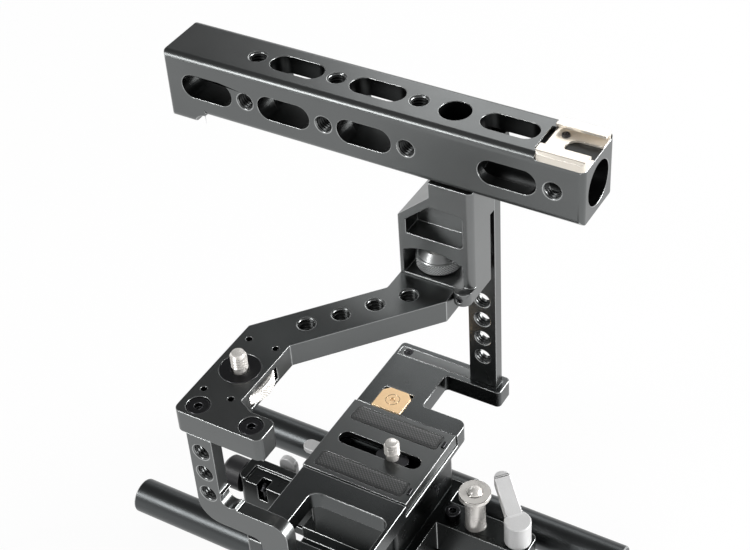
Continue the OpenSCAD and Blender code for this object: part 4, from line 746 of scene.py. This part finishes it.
def knurled_wheel(node, around, rim, dish, cone=None):
    """A wheel with a knurled rim. Each end has a dish, given by the width of its slope. A cone,
    given by its height and radius, takes the place of the upper one."""
    low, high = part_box(node)
    if cone:
        high.z -= cone[0]
    middle, thick = (low + high) / 2, high.z - low.z
    radius = (high.x - low.x) / 2 - KNURL_HEIGHT
    bpy.ops.mesh.primitive_cylinder_add(vertices=around, radius=radius, depth=thick - 2 * rim,
                                        location=middle)
    wheel = bpy.context.object
    settle()

    def is_upright(edge):
        a, b = edge_points(wheel, edge)
        return abs(a.z - b.z) > UPRIGHT

    pick(wheel, "edges", is_upright)
    bpy.ops.mesh.subdivide(number_cuts=KNURL_ROWS - 1)
    leave()
    for side in (1, -1):
        pick(wheel, "faces", lambda f: f.normal.z * side > END_NORMAL)
        bpy.ops.mesh.extrude_region_move(TRANSFORM_OT_translate={"value": (0, 0, side * rim)})
        share = (radius - rim) / radius
        bpy.ops.transform.resize(value=(share, share, 1), center_override=middle)
        if cone and side == 1:
            bpy.ops.mesh.inset(thickness=CONE_LAND, depth=0)
            bpy.ops.mesh.extrude_region_move(TRANSFORM_OT_translate={"value": (0, 0, cone[0])})
            share = cone[1] / (radius - rim - CONE_LAND)
            bpy.ops.transform.resize(value=(share, share, 1), center_override=middle)
        else:
            bpy.ops.mesh.inset(thickness=dish * DISH_LAND, depth=0)
            bpy.ops.mesh.inset(thickness=dish, depth=-dish * DISH_DEPTH)
        leave()
    knurl(wheel, lambda f: abs(f.normal.z) < RIM_NORMAL and f.area < SMALL_FACE, KNURL_HEIGHT)
    paint(wheel, *FINISH[slot_of[node]])
    wheel.name = node + "_dressed"
    smooth(wheel, WHEEL_SHARP_DEGREES)
    print(node, len(wheel.data.polygons), "faces")
    finish_piece(wheel, node)


knurled_wheel("riser_thumbwheel", 50, rim=0.3 * MM, dish=1.6 * MM, cone=(3 * MM, 6 * MM))
knurled_wheel("accessory_wheel", 64, rim=0.4 * MM, dish=2.2 * MM)

# %% [markdown]
# ## Rubber pads
# The two strips on the camera plate are rubber. The tips of their diamonds are mixed paler, by
# height, as a painted highlight on the ridges. Both strips lie at the same height.

# %% Painted highlight on the tips
# The painted highlight is mixed in between these heights over the strip
PALE_FROM, PALE_TO = 0.05 * MM, 0.38 * MM
RUBBER_TIP_HIGHLIGHT = (0.16, 0.165, 0.165)


def paler_above(material, low, high, color):
    """Mixes a paler colour into the finish between two heights."""
    tree = material.node_tree
    shader = tree.nodes["Principled BSDF"]
    plain = shader.inputs["Base Color"].links[0].from_socket
    height = tree.nodes.new("ShaderNodeSeparateXYZ")
    link(tree, tree.nodes.new("ShaderNodeTexCoord").outputs["Object"], height.inputs[0])
    share = tree.nodes.new("ShaderNodeMapRange")
    share.inputs["From Min"].default_value = low
    share.inputs["From Max"].default_value = high
    link(tree, height.outputs["Z"], share.inputs["Value"])
    mixed = tree.nodes.new("ShaderNodeMixRGB")
    link(tree, share.outputs["Result"], mixed.inputs["Fac"])
    link(tree, plain, mixed.inputs["Color1"])
    mixed.inputs["Color2"].default_value = (*color, 1)
    link(tree, mixed.outputs["Color"], shader.inputs["Base Color"])


pad_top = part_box("pad_far")[1].z
# Painted highlight on the tips of the diamonds
paler_above(rubber, pad_top + PALE_FROM, pad_top + PALE_TO, RUBBER_TIP_HIGHLIGHT)
print("paler above:", round((pad_top + PALE_FROM) / MM, 2), "mm")

# %% [markdown]
# ## The pads' diamonds
# The strips carry the same diamond pattern as the wheels, flat. Each is the CAD strip with a
# rounded rim, and a thin block on it whose top is a grid turned into diamonds.

# %% Make the pads
PAD_RIM = 0.25 * MM
PAD_INSET, DIAMOND_HEIGHT, CELL = 0.5 * MM, 0.4 * MM, 1.45 * MM
# The block's top lies this far under the strip's, and the block reaches this far down
TOP_SUNK, BLOCK_DEPTH = 0.02 * MM, 0.3 * MM
PAD_SHARP_DEGREES = 20


def ribbed_pad(node):
    """A strip with a rounded rim and a top of small diamonds."""
    low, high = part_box(node)
    base = merged_copy(node, node + "_base")
    bevel(base, "rim", PAD_RIM)
    apply_all(base)
    size = (high.x - low.x - 2 * PAD_INSET, high.y - low.y - 2 * PAD_INSET)
    cells = [round(s / CELL) for s in size]
    middle = (low + high) / 2
    bpy.ops.mesh.primitive_grid_add(x_subdivisions=cells[0], y_subdivisions=cells[1], size=1,
                                    location=(middle.x, middle.y, high.z - TOP_SUNK))
    top = bpy.context.object
    top.scale = (size[0], size[1], 1)
    settle()
    knurl(top, every, DIAMOND_HEIGHT)
    # The grid's open border is pulled down and closed, which makes it a thin block.
    pick(top, "edges", nothing)
    bpy.ops.mesh.select_non_manifold()
    bpy.ops.mesh.extrude_region_move(TRANSFORM_OT_translate={"value": (0, 0, -BLOCK_DEPTH)})
    bpy.ops.mesh.fill_holes(sides=0)
    leave()
    pick_all(top)
    bpy.ops.mesh.normals_make_consistent(inside=False)
    leave()
    pad = join(node + "_dressed", [base, top])
    paint(pad, rubber)
    smooth(pad, PAD_SHARP_DEGREES)
    print(node, cells, "cells,", len(pad.data.polygons), "faces")
    finish_piece(pad, node)


ribbed_pad("pad_far")
ribbed_pad("pad_near")

# %% [markdown]
# ## Floor
# The photograph has a plain white ground. A white floor in soft light would come out grey, so the
# rays that see it meet mostly plain white. A small share of its own shading stays, which gives
# the cage a soft shadow.

# %% Make the floor
# The floor lies just under the cage's lowest face, so that the two never share a plane.
FLOOR_SIZE, FLOOR_Z = 6, -0.1 * MM
FLOOR_GREY = 0.85
# The share of plain white in the floor, for the rays that see it
FLOOR_WHITE = 0.94


def seen_rays(tree):
    """1 for camera, glossy and transmission rays, else 0."""
    path = tree.nodes.new("ShaderNodeLightPath")
    both = math_node(tree, "MAXIMUM", path.outputs["Is Camera Ray"], path.outputs["Is Glossy Ray"])
    return math_node(tree, "MAXIMUM", both, path.outputs["Is Transmission Ray"])


bpy.ops.object.select_all(action="DESELECT")
bpy.ops.mesh.primitive_plane_add(size=FLOOR_SIZE, location=(0, 0, FLOOR_Z))
floor = bpy.context.object
floor.name = "floor"
paper = bpy.data.materials.new("white paper")
paper.use_nodes = True
tree = paper.node_tree
tree.nodes.clear()
matte = tree.nodes.new("ShaderNodeBsdfDiffuse")
matte.inputs["Color"].default_value = (FLOOR_GREY, FLOOR_GREY, FLOOR_GREY, 1)
glow = tree.nodes.new("ShaderNodeEmission")
mix = tree.nodes.new("ShaderNodeMixShader")
out = tree.nodes.new("ShaderNodeOutputMaterial")
link(tree, math_node(tree, "MULTIPLY", seen_rays(tree), FLOOR_WHITE), mix.inputs[0])
link(tree, matte.outputs[0], mix.inputs[1])
link(tree, glow.outputs[0], mix.inputs[2])
link(tree, mix.outputs[0], out.inputs["Surface"])
floor.data.materials.append(paper)
print("floor:", FLOOR_SIZE, "m wide")

# %% [markdown]
# ## World
# The world is white to the camera and milder as a lamp. Mirror rays see a room in it that is
# bright at the horizon and darker above, because in an all-white room every polished face would
# be white.

# %% Make the world
WORLD_LEVEL = 0.5
# What mirror rays meet, as (height, level): height 0 is the horizon and below, 1 straight up
ROOM = ((0.0, 1.0), (0.10, 0.8), (0.28, 0.35), (0.62, 0.12), (1.0, 0.22))

world = bpy.data.worlds.new("studio")
bpy.context.scene.world = world
world.use_nodes = True
tree = world.node_tree
sky = tree.nodes["Background"]
toward = tree.nodes.new("ShaderNodeSeparateXYZ")
link(tree, tree.nodes.new("ShaderNodeTexCoord").outputs["Generated"], toward.inputs[0])
room = tree.nodes.new("ShaderNodeValToRGB")
while len(room.color_ramp.elements) < len(ROOM):
    room.color_ramp.elements.new(0.5)
for stop, (height, level) in zip(room.color_ramp.elements, ROOM):
    stop.position, stop.color = height, (level, level, level, 1)
link(tree, toward.outputs["Z"], room.inputs[0])
path = tree.nodes.new("ShaderNodeLightPath")
mirror = math_node(tree, "MULTIPLY", path.outputs["Is Glossy Ray"], room.outputs["Color"])
plain = math_node(tree, "MAXIMUM", path.outputs["Is Camera Ray"],
                  path.outputs["Is Transmission Ray"])
unseen = math_node(tree, "SUBTRACT", 1.0, seen_rays(tree))
lit = math_node(tree, "ADD", math_node(tree, "MULTIPLY", unseen, WORLD_LEVEL), mirror)
link(tree, math_node(tree, "ADD", lit, plain), sky.inputs["Strength"])
sky.inputs["Color"].default_value = (1, 1, 1, 1)
print("room levels:", len(ROOM))

# %% [markdown]
# ## Lamps
# Three softboxes stand round the cage. The strongest is low on the right and lights the faces
# that look that way, and the two weaker ones soften the shadows on the left and behind.

# %% Place the lamps
LAMP_AIM = Vector((0, 0, 0.1))


def softbox(name, at, size, watts):
    """A square lamp that is aimed at the cage."""
    lamp = bpy.data.lights.new(name, "AREA")
    lamp.shape = "SQUARE"
    lamp.size = size
    lamp.energy = watts
    box = add_object(name, lamp)
    box.location = at
    box.rotation_mode = "QUATERNION"
    box.rotation_quaternion = (LAMP_AIM - Vector(at)).to_track_quat("-Z", "Y")


softbox("left softbox", (-0.8, -1.1, 1.1), 0.5, 9.5)
softbox("right softbox", (1.3, 0.75, 0.35), 1.0, 44)
softbox("back softbox", (-0.5, 1.3, 1.0), 0.6, 2.8)
bpy.context.scene.view_settings.view_transform = "Standard"
print("studio done")
